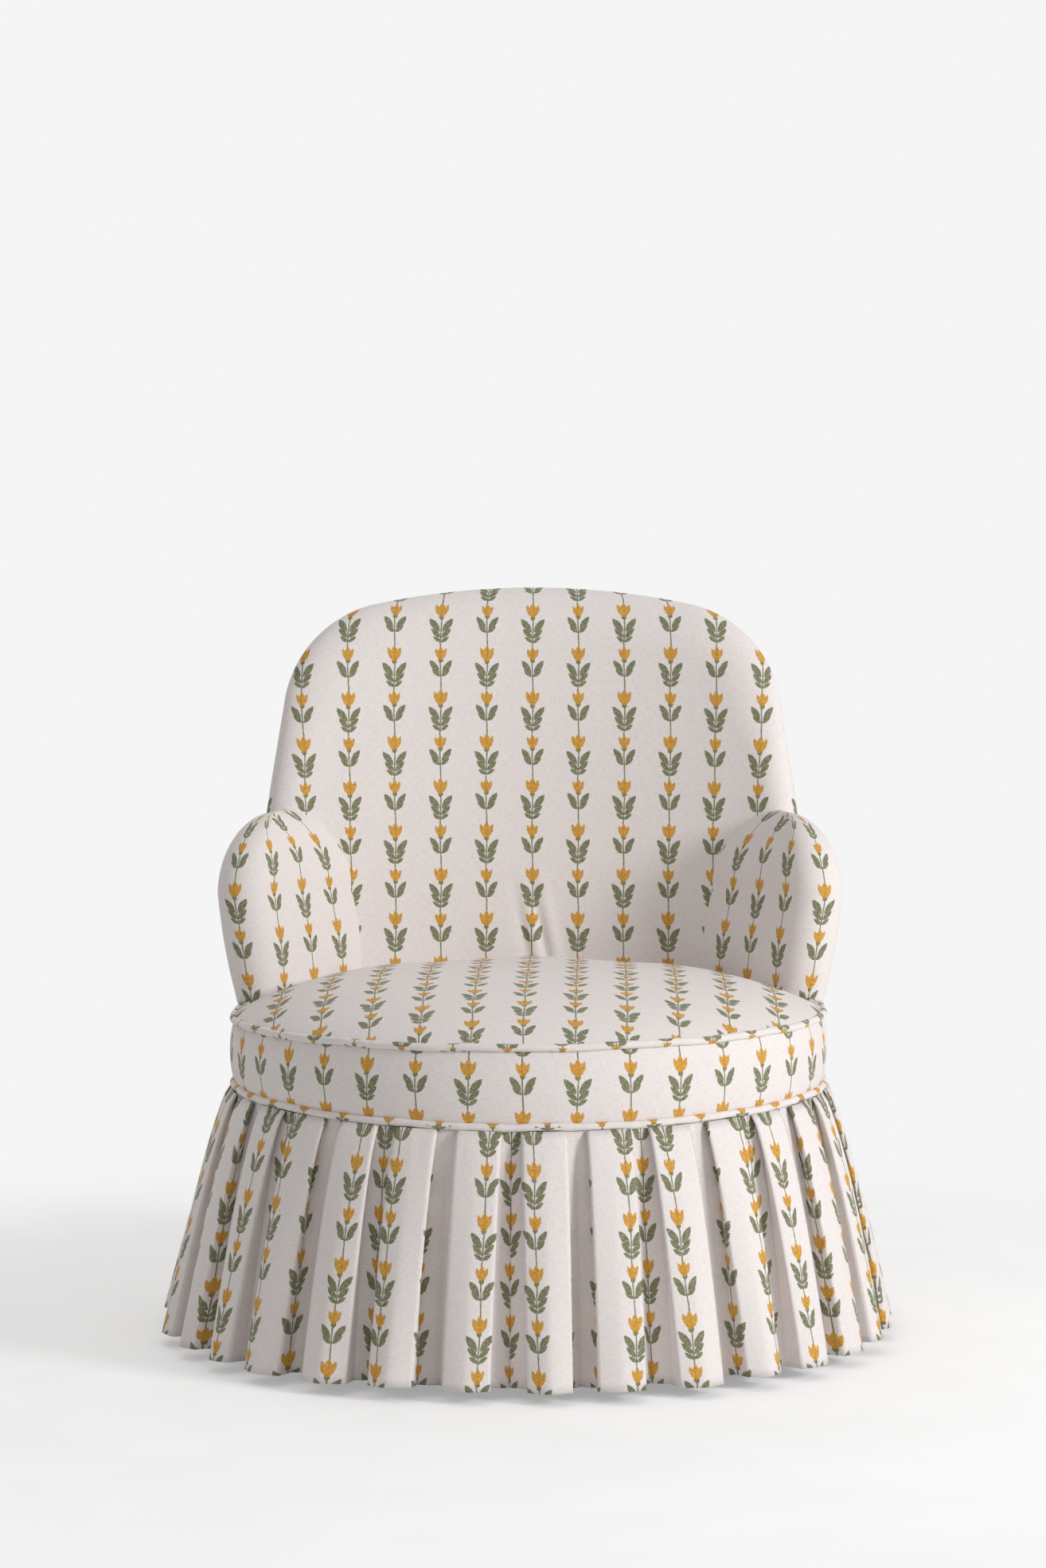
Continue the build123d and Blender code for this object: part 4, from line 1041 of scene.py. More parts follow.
@dataclass
class Back:
    """The back: a leaning shell, hollowed for the sitter, with full round edges and wide shoulders."""

    plan: SeatPlan
    base: float = 0.3757
    height: float = 0.862
    half_width: float = 0.343
    side_bow: float = 0.0035
    shoulder_radius: float = 0.138
    shoulder_x: float = 0.163
    top_radius: float = 0.945
    front_y: float = 0.240
    inside_radius: float = 0.600
    top_inside_radius: float = 0.740
    recline: float = 0.060
    rear_flare: float = 0.025
    front_round: float = 0.036
    top_round: float = 0.062
    rear_round: float = 0.022
    seam_turn: float = 1.05
    middle_z: float = 0.600
    foot_fade: float = 0.06
    top_round_from: float = 0.64
    top_round_fade: float = 0.12
    crease_top: float = 0.535
    crease_fade: float = 0.11
    crease_slant: float = 0.2
    crease_level: float = 0.43
    folds: tuple[Fold, ...] = (
        Fold(0.004, 0.006, 0.0035),
        Fold(0.015, 0.006, -0.0030),
        Fold(0.027, 0.007, 0.0028),
        Fold(-0.009, 0.006, -0.0022),
    )
    columns: int = 360
    side_points: int = 40
    shoulder_points: int = 200
    crown_points: int = 100
    face_rows: int = 34
    front_rows: int = 17
    rear_rows: int = 13
    beyond: float = 1.0

    @property
    def middle(self) -> np.ndarray:
        """The middle of both faces, across and up."""
        return np.array([0.0, self.middle_z])

    @property
    def crown_z(self) -> float:
        """The height of the middle of the top's arc."""
        return self.height - self.top_radius

    @property
    def shoulder_z(self) -> float:
        """The height of the middle of the shoulders' arcs."""
        reach = self.top_radius - self.shoulder_radius
        return self.crown_z + math.sqrt(reach**2 - self.shoulder_x**2)

    def outline(self) -> tuple[np.ndarray, np.ndarray]:
        """Draws the back's outline from the front.

        Returns:
            Points (x, z) and outward directions, from the middle of the base right round and back.
        """
        reach = math.hypot(self.half_width - self.shoulder_x, self.base - self.shoulder_z)
        towards = math.atan2(self.base - self.shoulder_z, self.half_width - self.shoulder_x)
        side_turn = towards + math.acos(self.shoulder_radius / reach)
        top_turn = math.atan2(self.shoulder_z - self.crown_z, self.shoulder_x)
        shoulder_turns = np.linspace(side_turn, top_turn, self.shoulder_points)
        shoulder = arc((self.shoulder_x, self.shoulder_z), self.shoulder_radius, shoulder_turns)
        crown_turns = np.linspace(top_turn, math.pi / 2, self.crown_points)[1:]
        crown = arc((0.0, self.crown_z), self.top_radius, crown_turns)
        up = np.linspace(0.0, 1.0, self.side_points, endpoint=False)[:, None]
        side = np.array([[self.half_width, self.base]]) * (1 - up) + shoulder[:1] * up
        side[:, 0] += self.side_bow * np.sin(math.pi * up[:, 0])
        right = respace(np.concatenate([[[0.0, self.base]], side, shoulder, crown]), self.columns // 2 + 1)
        line = np.concatenate([right, right[-2::-1] * np.array([-1.0, 1.0])])
        ahead = np.roll(line[:-1], -1, axis=0) - np.roll(line[:-1], 1, axis=0)
        ahead = np.concatenate([ahead, ahead[:1]])
        outward = np.column_stack([ahead[:, 1], -ahead[:, 0]])
        return line, outward / np.linalg.norm(outward, axis=1, keepdims=True)

    def rise(self, z: np.ndarray) -> np.ndarray:
        """The share of the way from the base to the top."""
        return (z - self.base) / (self.height - self.base)

    def inner_y(self, x: np.ndarray, z: np.ndarray) -> np.ndarray:
        """Finds the depth of the hollowed face, before its edge is rounded.

        Args:
            x: places across the chair.
            z: the same places' heights.

        Returns:
            The depth at each place.
        """
        radius = self.inside_radius + (self.top_inside_radius - self.inside_radius) * self.rise(z)
        hollow = np.sqrt(np.maximum(radius**2 - x**2, 0.0)) - radius
        return self.front_y + self.recline * self.rise(z) + hollow

    def outer_y(self, x: np.ndarray, z: np.ndarray) -> np.ndarray:
        """The depth of the rear face."""
        return self.plan.rear_y(x, self.rear_flare * self.rise(z))

    def face(self, x: np.ndarray, z: np.ndarray) -> np.ndarray:
        """Finds the depth of the front face with its rounded side edge, where the arms meet it.

        Args:
            x: places across the chair.
            z: the same places' heights.

        Returns:
            The depth at each place, and one far behind the chair outside the back.
        """
        tall = self.shoulder_z - self.base
        lean = (self.half_width - self.shoulder_x - self.shoulder_radius) / tall
        bow = self.side_bow * np.sin(math.pi * np.clip((z - self.base) / tall, 0.0, 1.0))
        inside = (self.half_width - lean * (z - self.base)) + bow - np.abs(x)
        turn = np.arcsin(np.clip(1.0 - inside / self.front_round, 0.0, 1.0))
        inner = self.inner_y(x, z)
        depth = (self.outer_y(x, z) - inner) / 2 * (1 - np.cos(turn))
        return np.where(inside > 0, inner + depth, self.beyond)

    def creases(self, x: np.ndarray, z: np.ndarray) -> np.ndarray:
        """Finds how far the face is pulled forward by the folds low in its middle.

        Args:
            x: places across the chair.
            z: the same places' heights.

        Returns:
            The pull at each place.
        """
        low = smooth_step((self.crease_top - z) / self.crease_fade)
        beside = x + self.crease_slant * (z - self.crease_level)
        pulls = [fold.pull * np.exp(-(((beside - fold.middle) / fold.half) ** 2)) for fold in self.folds]
        return low * sum(pulls)

    def fan(self, edge: np.ndarray) -> tuple[np.ndarray, np.ndarray]:
        """Spreads rows from the middle of a face to just inside its edge.

        Args:
            edge: the edge's points.

        Returns:
            The rows' places across and up.
        """
        share = np.linspace(0.0, 1.0, self.face_rows, endpoint=False)
        flat = self.middle + (edge[:, [0, 2]] - self.middle)[None] * share[:, None, None]
        return flat[..., 0], flat[..., 1]

    def shell(self, insets: np.ndarray, depths: np.ndarray, soft: np.ndarray) -> np.ndarray:
        """Places rows of points between the middle and the outline.

        Args:
            insets: each row's share of the rounding that is left to the outline.
            depths: each row's share of the thickness from the front face.
            soft: the rounding at each column.

        Returns:
            Points with the rows of insets and the columns of the outline.
        """
        line, outward = self.outline()
        ray = line - self.middle
        reach = np.sum(ray * outward, axis=1)
        share = 1.0 - insets[:, None] * soft[None, :] / reach[None, :]
        flat = self.middle + ray[None] * share[..., None]
        x, z = flat[..., 0], flat[..., 1]
        inner = self.inner_y(x, z)
        y = inner + (self.outer_y(x, z) - inner) * depths[:, None]
        return np.stack([x, y, z], axis=-1)

    def cloth_place(self, points: np.ndarray, mirror: float) -> np.ndarray:
        """Spreads the shell flat from its middle, each column by its own length.

        Args:
            points: the shell's points, the first row at the middle.
            mirror: turns the cloth for the rear.

        Returns:
            The place on the cloth in metres.
        """
        lengths = run_lengths(points.transpose(1, 0, 2)).T
        line, _ = self.outline()
        ray = line - self.middle
        ray /= np.linalg.norm(ray, axis=1, keepdims=True)
        flat = lengths[..., None] * ray[None]
        flat[..., 0] *= mirror
        flat[..., 1] += self.middle_z
        return flat

    def build(self, cloth: Material) -> None:
        """Makes the inside and the outside cover, and dresses them.

        Args:
            cloth: the covers' material.
        """
        line, _ = self.outline()
        above = smooth_step((line[:, 1] - self.base) / self.foot_fade)
        high = smooth_step((line[:, 1] - self.top_round_from) / self.top_round_fade)
        front_soft = (self.front_round + (self.top_round - self.front_round) * high) * above
        front_turn = np.linspace(0.0, math.pi / 2, self.front_rows)
        rear_turn = np.linspace(0.0, math.pi / 2, self.rear_rows)
        seam_row = int(np.searchsorted(rear_turn, self.seam_turn))
        x, z = self.fan(self.shell(np.ones(1), np.zeros(1), front_soft)[0])
        front = np.stack([x, self.inner_y(x, z) - self.creases(x, z), z], axis=-1)
        rim = self.shell(1 - np.sin(front_turn), (1 - np.cos(front_turn)) / 2, front_soft)
        heel = self.shell(1 - np.cos(rear_turn), (1 + np.sin(rear_turn)) / 2, self.rear_round * above)
        inside = np.concatenate([front, rim, heel[1 : seam_row + 1]])
        cover = grid_object("inside_back_cloth", inside, self.cloth_place(inside, 1.0))
        upholster(cover, cloth, "inside_back_cover", "back_foam")

        x, z = self.fan(heel[-1])
        rear = np.stack([x, self.outer_y(x, z), z], axis=-1)
        outside = np.concatenate([rear, heel[: seam_row - 1 : -1]])
        panel = grid_object("outside_back_cloth", outside, self.cloth_place(outside, -1.0), flip=True)
        upholster(panel, cloth, "outside_back_cover", "outside_back_wadding")


@dataclass
class Seat:
    """The crowned seat with its border and the two welts."""

    plan: SeatPlan
    back: Back
    arms: Arms
    welt_low: float = 0.288
    welt_high: float = 0.3748
    welt_tilt: float = 0.003
    crown: float = 0.0497
    crown_power: float = 3.6
    edge_power: float = 0.86
    middle: Pair = (0.0, 0.015)
    ring_power: float = 1.15
    crease: float = 0.015
    crease_reach: float = 0.020
    crease_end: float = 0.97
    back_level: float = 0.02
    rear_ease: float = 0.0048
    ease_across: float = 0.12
    ease_depth: float = 0.14
    ease_above: float = 0.2
    hidden_reach: float = 0.014
    border_out: float = 0.0010
    border_tuck: float = 0.0062
    tuck_power: float = 2.4
    border_groove: float = 0.0026
    groove_power: int = 20
    welt_radius: float = 0.0043
    welt_stand_out: float = -0.0034
    welt_swell: tuple[Place, ...] = ((0.03, 61, 0.0), (0.025, 97, 1.3))
    welt_wave: Pair = (0.0005, 0.0003)
    wave_turns: tuple[int, int] = (13, 29)
    wave_start: float = 3.0
    upper_start: float = 0.28
    lower_start: float = 0.55
    stripes: int = 38
    columns: int = 288
    rings: int = 56
    border_columns: int = 361
    border_rows: int = 29
    welt_columns: int = 481
    welt_rows: int = 15

    @property
    def cloth_share(self) -> float:
        """How the band's cloth is eased so that a whole number of stripes goes round."""
        return self.stripes * STRIPE_PITCH / self.plan.length

    def high(self, x: np.ndarray) -> np.ndarray:
        """The upper seam's height at places across the chair."""
        return self.welt_high + self.welt_tilt * x / self.plan.radius

    def low(self, y: np.ndarray) -> np.ndarray:
        """The lower seam's height at places of some depth."""
        return self.welt_low + self.plan.rise(y)

    def room(self, x: np.ndarray, y: np.ndarray) -> np.ndarray:
        """Finds how far places on the seat lie from the back or the arms, below 0 underneath them.

        Args:
            x: places across the chair.
            y: the same places' depths.

        Returns:
            The distances.
        """
        z = np.full_like(x, self.back.base + self.back_level)
        to_back = self.back.inner_y(x, z) - y
        return np.minimum(to_back, self.arms.room(np.abs(x), y))

    def build_top(self, cloth: Material) -> None:
        """Makes the crowned cover as rings round the seat's middle.

        Args:
            cloth: its material.
        """
        along = np.linspace(0.0, self.plan.length, self.columns + 1)
        edge, outward = self.plan.edge(along)
        edge = edge - outward * (self.border_tuck - self.border_out)
        share = np.sin(np.linspace(0.0, math.pi / 2, self.rings)) ** self.ring_power
        middle = np.array(self.middle)
        flat = middle + (edge - middle)[None] * share[:, None, None]
        x, y = flat[..., 0], flat[..., 1]
        height = np.maximum(1.0 - share**self.crown_power, 0.0) ** self.edge_power
        room = self.room(x, y)
        crease = self.crease * np.exp(-np.maximum(room, 0.0) / self.crease_reach)
        behind = smooth_step(np.abs(x) / self.ease_across) * smooth_step(y / self.ease_depth)
        ease = self.rear_ease * behind * (height[:, None] > self.ease_above)
        rim = self.welt_tilt * edge[:, 0] / self.plan.radius * (1.0 - height[:, None])
        crease = crease * (share[:, None] < self.crease_end)
        z = self.welt_high + rim + self.crown * height[:, None] - crease - ease
        points = np.stack([x, y, z], axis=-1)
        shown = room > -self.hidden_reach
        keep = shown[:-1, :-1] | shown[1:, 1:] | shown[:-1, 1:] | shown[1:, :-1]
        cover = grid_object("seat_cover_cloth", points, flat.copy(), keep)
        upholster(cover, cloth, "seat_cover", "seat_wadding", "seat_foam")

    def build_border(self, cloth: Material) -> None:
        """Makes the band between the welts, slightly puffed.

        Args:
            cloth: its material.
        """
        along = np.linspace(0.0, self.plan.length, self.border_columns)
        edge, outward = self.plan.edge(along)
        to_edge = np.cos(np.linspace(math.pi, 0.0, self.border_rows))
        tuck = self.border_tuck * np.abs(to_edge) ** self.tuck_power
        puff = self.border_out - tuck - self.border_groove * to_edge**self.groove_power
        flat = edge[None] + outward[None] * puff[:, None, None]
        low = self.low(edge[:, 1])
        z = low + (self.high(edge[:, 0]) - low) * ((1.0 + to_edge) / 2)[:, None]
        points = np.concatenate([flat, z[..., None]], axis=-1)
        place = np.stack([np.broadcast_to(self.cloth_share * along, z.shape), z], axis=-1)
        band = grid_object("seat_border_cloth", points, place)
        upholster(band, cloth, "seat_border", "border_wadding")

    def build_welt(self, name: str, upper: bool, cloth: Material) -> None:
        """Makes one welt as a soft rope of cloth.

        Args:
            name: the welt's node.
            upper: makes the one above the border.
            cloth: its material.
        """
        along = np.linspace(0.0, self.plan.length, self.welt_columns)
        edge, outward = self.plan.edge(along)
        height = self.high(edge[:, 0]) if upper else self.low(edge[:, 1])
        turns = np.linspace(0.0, 2 * math.pi, self.welt_rows)
        ripple = 2 * math.pi * along / self.plan.length
        swell = sum(share * np.sin(count * ripple + start) for share, count, start in self.welt_swell)
        radius = self.welt_radius * (1 + swell)
        slow, quick = self.wave_turns
        lift = self.welt_wave[0] * np.sin(slow * ripple + self.wave_start * upper)
        lift = lift + self.welt_wave[1] * np.sin(quick * ripple)
        out = self.welt_stand_out + radius[None] * np.cos(turns)[:, None]
        flat = edge[None] + outward[None] * out[..., None]
        z = height + lift + radius * np.sin(turns)[:, None]
        points = np.concatenate([flat, z[..., None]], axis=-1)
        wrap = height + turns[:, None] * self.welt_radius
        start = STRIPE_PITCH * (self.upper_start if upper else self.lower_start)
        place = np.stack([np.broadcast_to(start + self.cloth_share * along, z.shape), wrap], axis=-1)
        rope = grid_object(f"{name}_cloth", points, place)
        dress(rope, cloth, name, f"{name}_cord")


def set_input(modifier: bpy.types.NodesModifier, name: str, value: object) -> None:
    """Sets a Geometry Nodes input by its socket's identifier.

    Args:
        modifier: the modifier that runs the tree.
        name: the input's name.
        value: what it is set to.
    """
    for item in modifier.node_group.interface.items_tree:
        if item.item_type == "SOCKET" and item.in_out == "INPUT" and item.name == name:
            modifier[item.identifier] = value


def start_tree(name: str, inputs: dict[str, object]) -> tuple[NodeTree, NodeDesk, bpy.types.NodeOutputs]:
    """Starts a Geometry Nodes tree.

    Args:
        name: the tree's name.
        inputs: the values that it will be given, by name.

    Returns:
        The tree, a desk for its nodes, and what it is given.
    """
    tree = bpy.data.node_groups.new(name, "GeometryNodeTree")
    tree.interface.new_socket("Geometry", in_out="INPUT", socket_type="NodeSocketGeometry")
    for label, value in inputs.items():
        tree.interface.new_socket(label, in_out="INPUT", socket_type=SOCKET_KINDS[type(value)])
    tree.interface.new_socket("Geometry", in_out="OUTPUT", socket_type="NodeSocketGeometry")
    desk = NodeDesk(tree)
    return tree, desk, desk.add("NodeGroupInput").outputs


def end_tree(desk: NodeDesk, shape: Socket, finish: Socket) -> None:
    """Ends a Geometry Nodes tree: copies are made real and get their finish.

    Args:
        desk: the tree's desk.
        shape: what the tree has made.
        finish: the material that it gets.
    """
    real = desk.add("GeometryNodeRealizeInstances", {"Geometry": shape}).outputs["Geometry"]
    painted = desk.add("GeometryNodeSetMaterial", {"Geometry": real, "Material": finish})
    desk.add("NodeGroupOutput", {"Geometry": painted.outputs["Geometry"]})


def node_result(name: str, host: Mesh, tree: NodeTree, inputs: dict[str, object]) -> Mesh:
    """Runs a Geometry Nodes tree once and keeps its mesh.

    Args:
        name: the result's name.
        host: the mesh that the tree starts from.
        tree: the tree.
        inputs: the tree's named inputs.

    Returns:
        The plain mesh.
    """
    carrier = add_object(name, host)
    modifier = carrier.modifiers.new("shape", "NODES")
    modifier.node_group = tree
    for label, value in inputs.items():
        set_input(modifier, label, value)
    graph = bpy.context.evaluated_depsgraph_get()
    shaped = carrier.evaluated_get(graph)
    mesh = bpy.data.meshes.new_from_object(shaped, preserve_all_data_layers=True, depsgraph=graph)
    carrier.modifiers.remove(modifier)
    bpy.data.objects.remove(carrier)
    return mesh


@dataclass
class Skirt:
    """The box pleated skirt: one long strip of cloth folded into panels and sewn under the lower welt.

    Each line of corners goes from the middle of a recess, at 0, to the middle of a panel, at 1.
    """

    plan: SeatPlan
    top: float = 0.2835
    hem: float = 0.012
    stand_out: float = -0.0010
    flare: float = 0.0742
    flare_power: float = 0.72
    pleats: int = 32
    stripes: int = 79
    columns_per_pleat: int = 48
    rows: int = 28
    line_points: int = 720
    depth_top: float = 0.003
    depth_hem: float = 0.042
    depth_power: float = 0.5
    bulge: float = 0.0085
    across_top: Corners = ((0.0, 0.0), (0.375, 0.352), (0.625, 0.160), (1.0, 0.5))
    across_hem: Corners = ((0.0, 0.0), (0.375, 0.240), (0.625, 0.214), (1.0, 0.5))
    across_power: float = 0.85
    inward_top: Corners = ((0.0, 1.0), (0.375, 1.0), (0.625, 0.0), (1.0, 0.0))
    inward_hem: Corners = ((0.0, 1.0), (0.375, 0.60), (0.625, 0.06), (1.0, 0.0))
    cloth_used: Corners = ((0.0, 0.0), (0.375, 0.199), (0.625, 0.308), (1.0, 0.5))
    panel: Pair = (0.45, 1.0)
    loose: Pair = (0.05, 0.6)
    low_power: float = 1.6
    shift: Pair = (-0.065, 0.065)
    bulge_share: Pair = (0.35, 1.3)
    twist: Pair = (-0.005, 0.005)
    swing: Pair = (-0.004, 0.003)
    lift: Pair = (0.0, 0.004)
    spread: Pair = (-0.15, 0.15)
    pucker_places: Pair = (70.0, 3.0)
    pucker: Pair = (0.003, 0.0004)
    pucker_drop: float = 0.3
    seed: int = 11
    wall: float = 0.0014
    first_panel: float = 0.023
    hem_seam: float = 0.016
    flat_height: float = 0.283

    @property
    def cloth_per_pleat(self) -> float:
        """The cloth that goes into one pleat, for a whole number of stripes all round."""
        return self.stripes * STRIPE_PITCH / self.pleats

    def plan_curve(self) -> Piece:
        """Makes the closed line that the skirt hangs from, starting in the recess left of the first panel.

        Returns:
            The line's object.
        """
        pitch = self.plan.length / self.pleats
        along = np.linspace(0.0, self.plan.length, self.line_points, endpoint=False)
        along = along + self.first_panel - pitch / 2
        edge, _ = self.plan.edge(along)
        line = bpy.data.curves.new("skirt line", "CURVE")
        line.dimensions = "3D"
        spline = line.splines.new("POLY")
        spline.points.add(len(edge) - 1)
        for point, (x, y) in zip(spline.points, edge):
            point.co = (x, y, float(self.plan.rise(y)), 1.0)
        spline.use_cyclic_u = True
        return add_object("skirt line", line)

    def tree(self, inputs: dict[str, object]) -> NodeTree:
        """Builds the tree that folds a flat grid into pleats along the plan's line.

        Args:
            inputs: the sizes that it is given, by name.

        Returns:
            The tree.
        """
        tree, desk, given = start_tree("box pleats", inputs)
        steps = desk.times(given["Pleats"], given["Columns"])
        counts = {"Vertices X": desk.total(steps, 1.0), "Vertices Y": given["Rows"]}
        grid = desk.add("GeometryNodeMeshGrid", {"Size X": 1.0, "Size Y": 1.0, **counts})
        x, y, _ = desk.parts(desk.add("GeometryNodeInputPosition").outputs[0])
        column = desk.math("ROUND", desk.times(desk.total(x, 0.5), steps))
        drop = desk.total(y, 0.5)
        pleat_place = desk.math("DIVIDE", column, given["Columns"])
        last_pleat = desk.math("SUBTRACT", given["Pleats"], 1.0)
        pleat = desk.math("MINIMUM", desk.math("FLOOR", pleat_place), last_pleat)
        across = desk.math("SUBTRACT", pleat_place, pleat)
        from_middle = desk.math("MULTIPLY_ADD", across, 2.0, -1.0)
        fold = desk.math("SUBTRACT", 1.0, desk.math("ABSOLUTE", from_middle))
        side = desk.math("SIGN", from_middle)

        def chance(limits: Pair, step: int) -> Socket:
            """Draws one random number for each pleat.

            Args:
                limits: the smallest and the largest.
                step: which draw it is.

            Returns:
                The number.
            """
            node = desk.add("FunctionNodeRandomValue", data_type="FLOAT")
            sockets = {socket.identifier: socket for socket in node.inputs}
            desk.feed(sockets["Min_001"], limits[0])
            desk.feed(sockets["Max_001"], limits[1])
            desk.feed(sockets["ID"], pleat)
            desk.feed(sockets["Seed"], desk.total(given["Seed"], step))
            return next(socket for socket in node.outputs if socket.identifier == "Value_001")

        loose = desk.ramp(fold, *self.loose)
        opened = desk.math("POWER", drop, self.across_power)
        lateral = desk.blend(opened, desk.curve(fold, self.across_top), desk.curve(fold, self.across_hem))
        free = desk.times(loose, drop)
        shift = desk.times(chance(self.shift, 1), free)
        spread = desk.math("MULTIPLY_ADD", chance(self.spread, 6), free, 1.0)
        half = desk.times(desk.math("SUBTRACT", 0.5, lateral), spread)
        spot = desk.total(0.5, desk.times(half, side), shift)
        depth_top = desk.times(desk.curve(fold, self.inward_top), given["Depth Top"])
        depth_hem = desk.times(desk.curve(fold, self.inward_hem), given["Depth Hem"])
        depth = desk.blend(desk.math("POWER", drop, self.depth_power), depth_top, depth_hem)
        low = desk.math("POWER", drop, self.low_power)
        bulge = desk.times(desk.ramp(fold, *self.panel), given["Bulge"], low, chance(self.bulge_share, 2))
        twist = desk.times(from_middle, chance(self.twist, 3), loose, low)
        swing = desk.times(chance(self.swing, 4), loose, low)
        along = desk.times(desk.total(pleat, across), given["Cloth Per Pleat"])
        places = [desk.times(place, scale) for place, scale in zip((along, drop), self.pucker_places)]
        stray = desk.math("SUBTRACT", desk.noise(desk.vector(*places), 1.0), 0.5)
        pucker = desk.times(stray, desk.ramp(drop, 0.0, self.pucker_drop, *self.pucker))
        flare = desk.times(desk.math("POWER", drop, self.flare_power), given["Flare"])
        out = desk.total(given["Stand Out"], flare, bulge, twist, swing, pucker)
        out = desk.math("SUBTRACT", out, depth)

        line = desk.add("GeometryNodeObjectInfo", {"Object": given["Line"]}, transform_space="ORIGINAL")
        share = desk.math("DIVIDE", desk.total(pleat, spot), given["Pleats"])
        factor = desk.math("FRACT", desk.total(share, 1.0))
        values = {"Curves": line.outputs["Geometry"], "Factor": factor}
        sample = desk.add("GeometryNodeSampleCurve", values, mode="FACTOR")
        tangent_x, tangent_y, _ = desk.parts(sample.outputs["Tangent"])
        line_x, line_y, line_z = desk.parts(sample.outputs["Position"])
        place_x = desk.math("MULTIPLY_ADD", tangent_y, out, line_x)
        place_y = desk.math("SUBTRACT", line_y, desk.times(tangent_x, out))
        level = desk.blend(drop, desk.total(given["Top"], line_z), given["Hem"])
        place_z = desk.total(level, desk.times(chance(self.lift, 5), loose, low))

        left = desk.math("SUBTRACT", 0.5, desk.curve(fold, self.cloth_used))
        used = desk.math("MULTIPLY_ADD", left, side, 0.5)
        cloth_u = desk.times(desk.total(pleat, used), given["Cloth Per Pleat"])
        cloth_v = desk.blend(drop, given["Top"], given["Hem"])
        values = {"Geometry": grid.outputs["Mesh"], "Name": CLOTH_MAP, "Value": desk.vector(cloth_u, cloth_v)}
        store = desk.add("GeometryNodeStoreNamedAttribute", values, data_type="FLOAT2", domain="CORNER")
        place = desk.vector(place_x, place_y, place_z)
        values = {"Geometry": store.outputs["Geometry"], "Position": place}
        bend = desk.add("GeometryNodeSetPosition", values)
        end_tree(desk, bend.outputs["Geometry"], given["Cloth"])
        return tree

    def build(self, cloth: Material) -> tuple[Piece, np.ndarray]:
        """Folds the skirt and dresses it.

        Args:
            cloth: its material.

        Returns:
            The skirt, and the line of its hem's stitches.
        """
        line = self.plan_curve()
        inputs = {
            "Line": line,
            "Cloth": cloth,
            "Pleats": self.pleats,
            "Columns": self.columns_per_pleat,
            "Rows": self.rows,
            "Seed": self.seed,
            "Top": self.top,
            "Hem": self.hem,
            "Stand Out": self.stand_out,
            "Flare": self.flare,
            "Cloth Per Pleat": self.cloth_per_pleat,
            "Depth Top": self.depth_top,
            "Depth Hem": self.depth_hem,
            "Bulge": self.bulge,
        }
        start = bpy.data.meshes.new("skirt start")
        mesh = node_result("skirt_cloth", start, self.tree(inputs), inputs)
        bpy.data.objects.remove(line)
        places = np.empty(len(mesh.vertices) * 3, dtype=np.float32)
        mesh.vertices.foreach_get("co", places)
        strips = places.reshape(-1, self.rows, 3)
        seam_row = round((self.rows - 1) * (1 - self.hem_seam / (self.top - self.hem)))
        skirt = tidy_object("skirt_cloth", mesh)
        thicken(skirt, self.wall)
        dress(skirt, cloth, "skirt")
        return skirt, strips[:, seam_row]


@dataclass
class Stitching:
    """Rows of small stitches along seams."""

    pitch: float = 0.0042
    length: float = 0.0030
    width: float = 0.0007
    lift: float = 0.0003
    segments: int = 6
    rings: int = 4

    def tree(self, inputs: dict[str, object]) -> NodeTree:
        """Builds the tree that sets stitches along a line.

        Args:
            inputs: the sizes that it is given, by name.

        Returns:
            The tree.
        """
        tree, desk, given = start_tree("stitches", inputs)
        line = desk.add("GeometryNodeMeshToCurve", {"Mesh": given["Geometry"]})
        values = {"Curve": line.outputs["Curve"], "Length": given["Pitch"]}
        points = desk.add("GeometryNodeCurveToPoints", values, mode="LENGTH")
        values = {"Segments": self.segments, "Rings": self.rings, "Radius": 0.5}
        stitch = desk.add("GeometryNodeMeshUVSphere", values)
        copies = desk.add("GeometryNodeInstanceOnPoints", {
            "Points": points.outputs["Points"],
            "Instance": stitch.outputs["Mesh"],
            "Rotation": points.outputs["Rotation"],
            "Scale": desk.vector(given["Width"], given["Width"], given["Length"]),
        })
        end_tree(desk, copies.outputs["Instances"], given["Thread"])
        return tree

    def build(self, name: str, lines: list[np.ndarray], thread: Material) -> Piece:
        """Sews along lines of points and dresses the stitches.

        Args:
            name: the piece's name.
            lines: the seams' points.
            thread: the stitches' material.

        Returns:
            The stitches as one piece.
        """
        points = np.concatenate(lines)
        starts = np.cumsum([0] + [len(line) for line in lines])
        edges = [(i, i + 1) for a, b in zip(starts[:-1], starts[1:]) for i in range(a, b - 1)]
        host = bpy.data.meshes.new(name)
        host.from_pydata(points.tolist(), edges, [])
        inputs = {"Thread": thread, "Pitch": self.pitch, "Length": self.length, "Width": self.width}
        mesh = node_result(name, host, self.tree(inputs), inputs)
        return dress(tidy_object(name, mesh), thread)


@dataclass(frozen=True)
class Lamp:
    """One square soft lamp: its name, its place, its side and its power in watts."""

    name: str
    place: Place
    size: float
    power: float


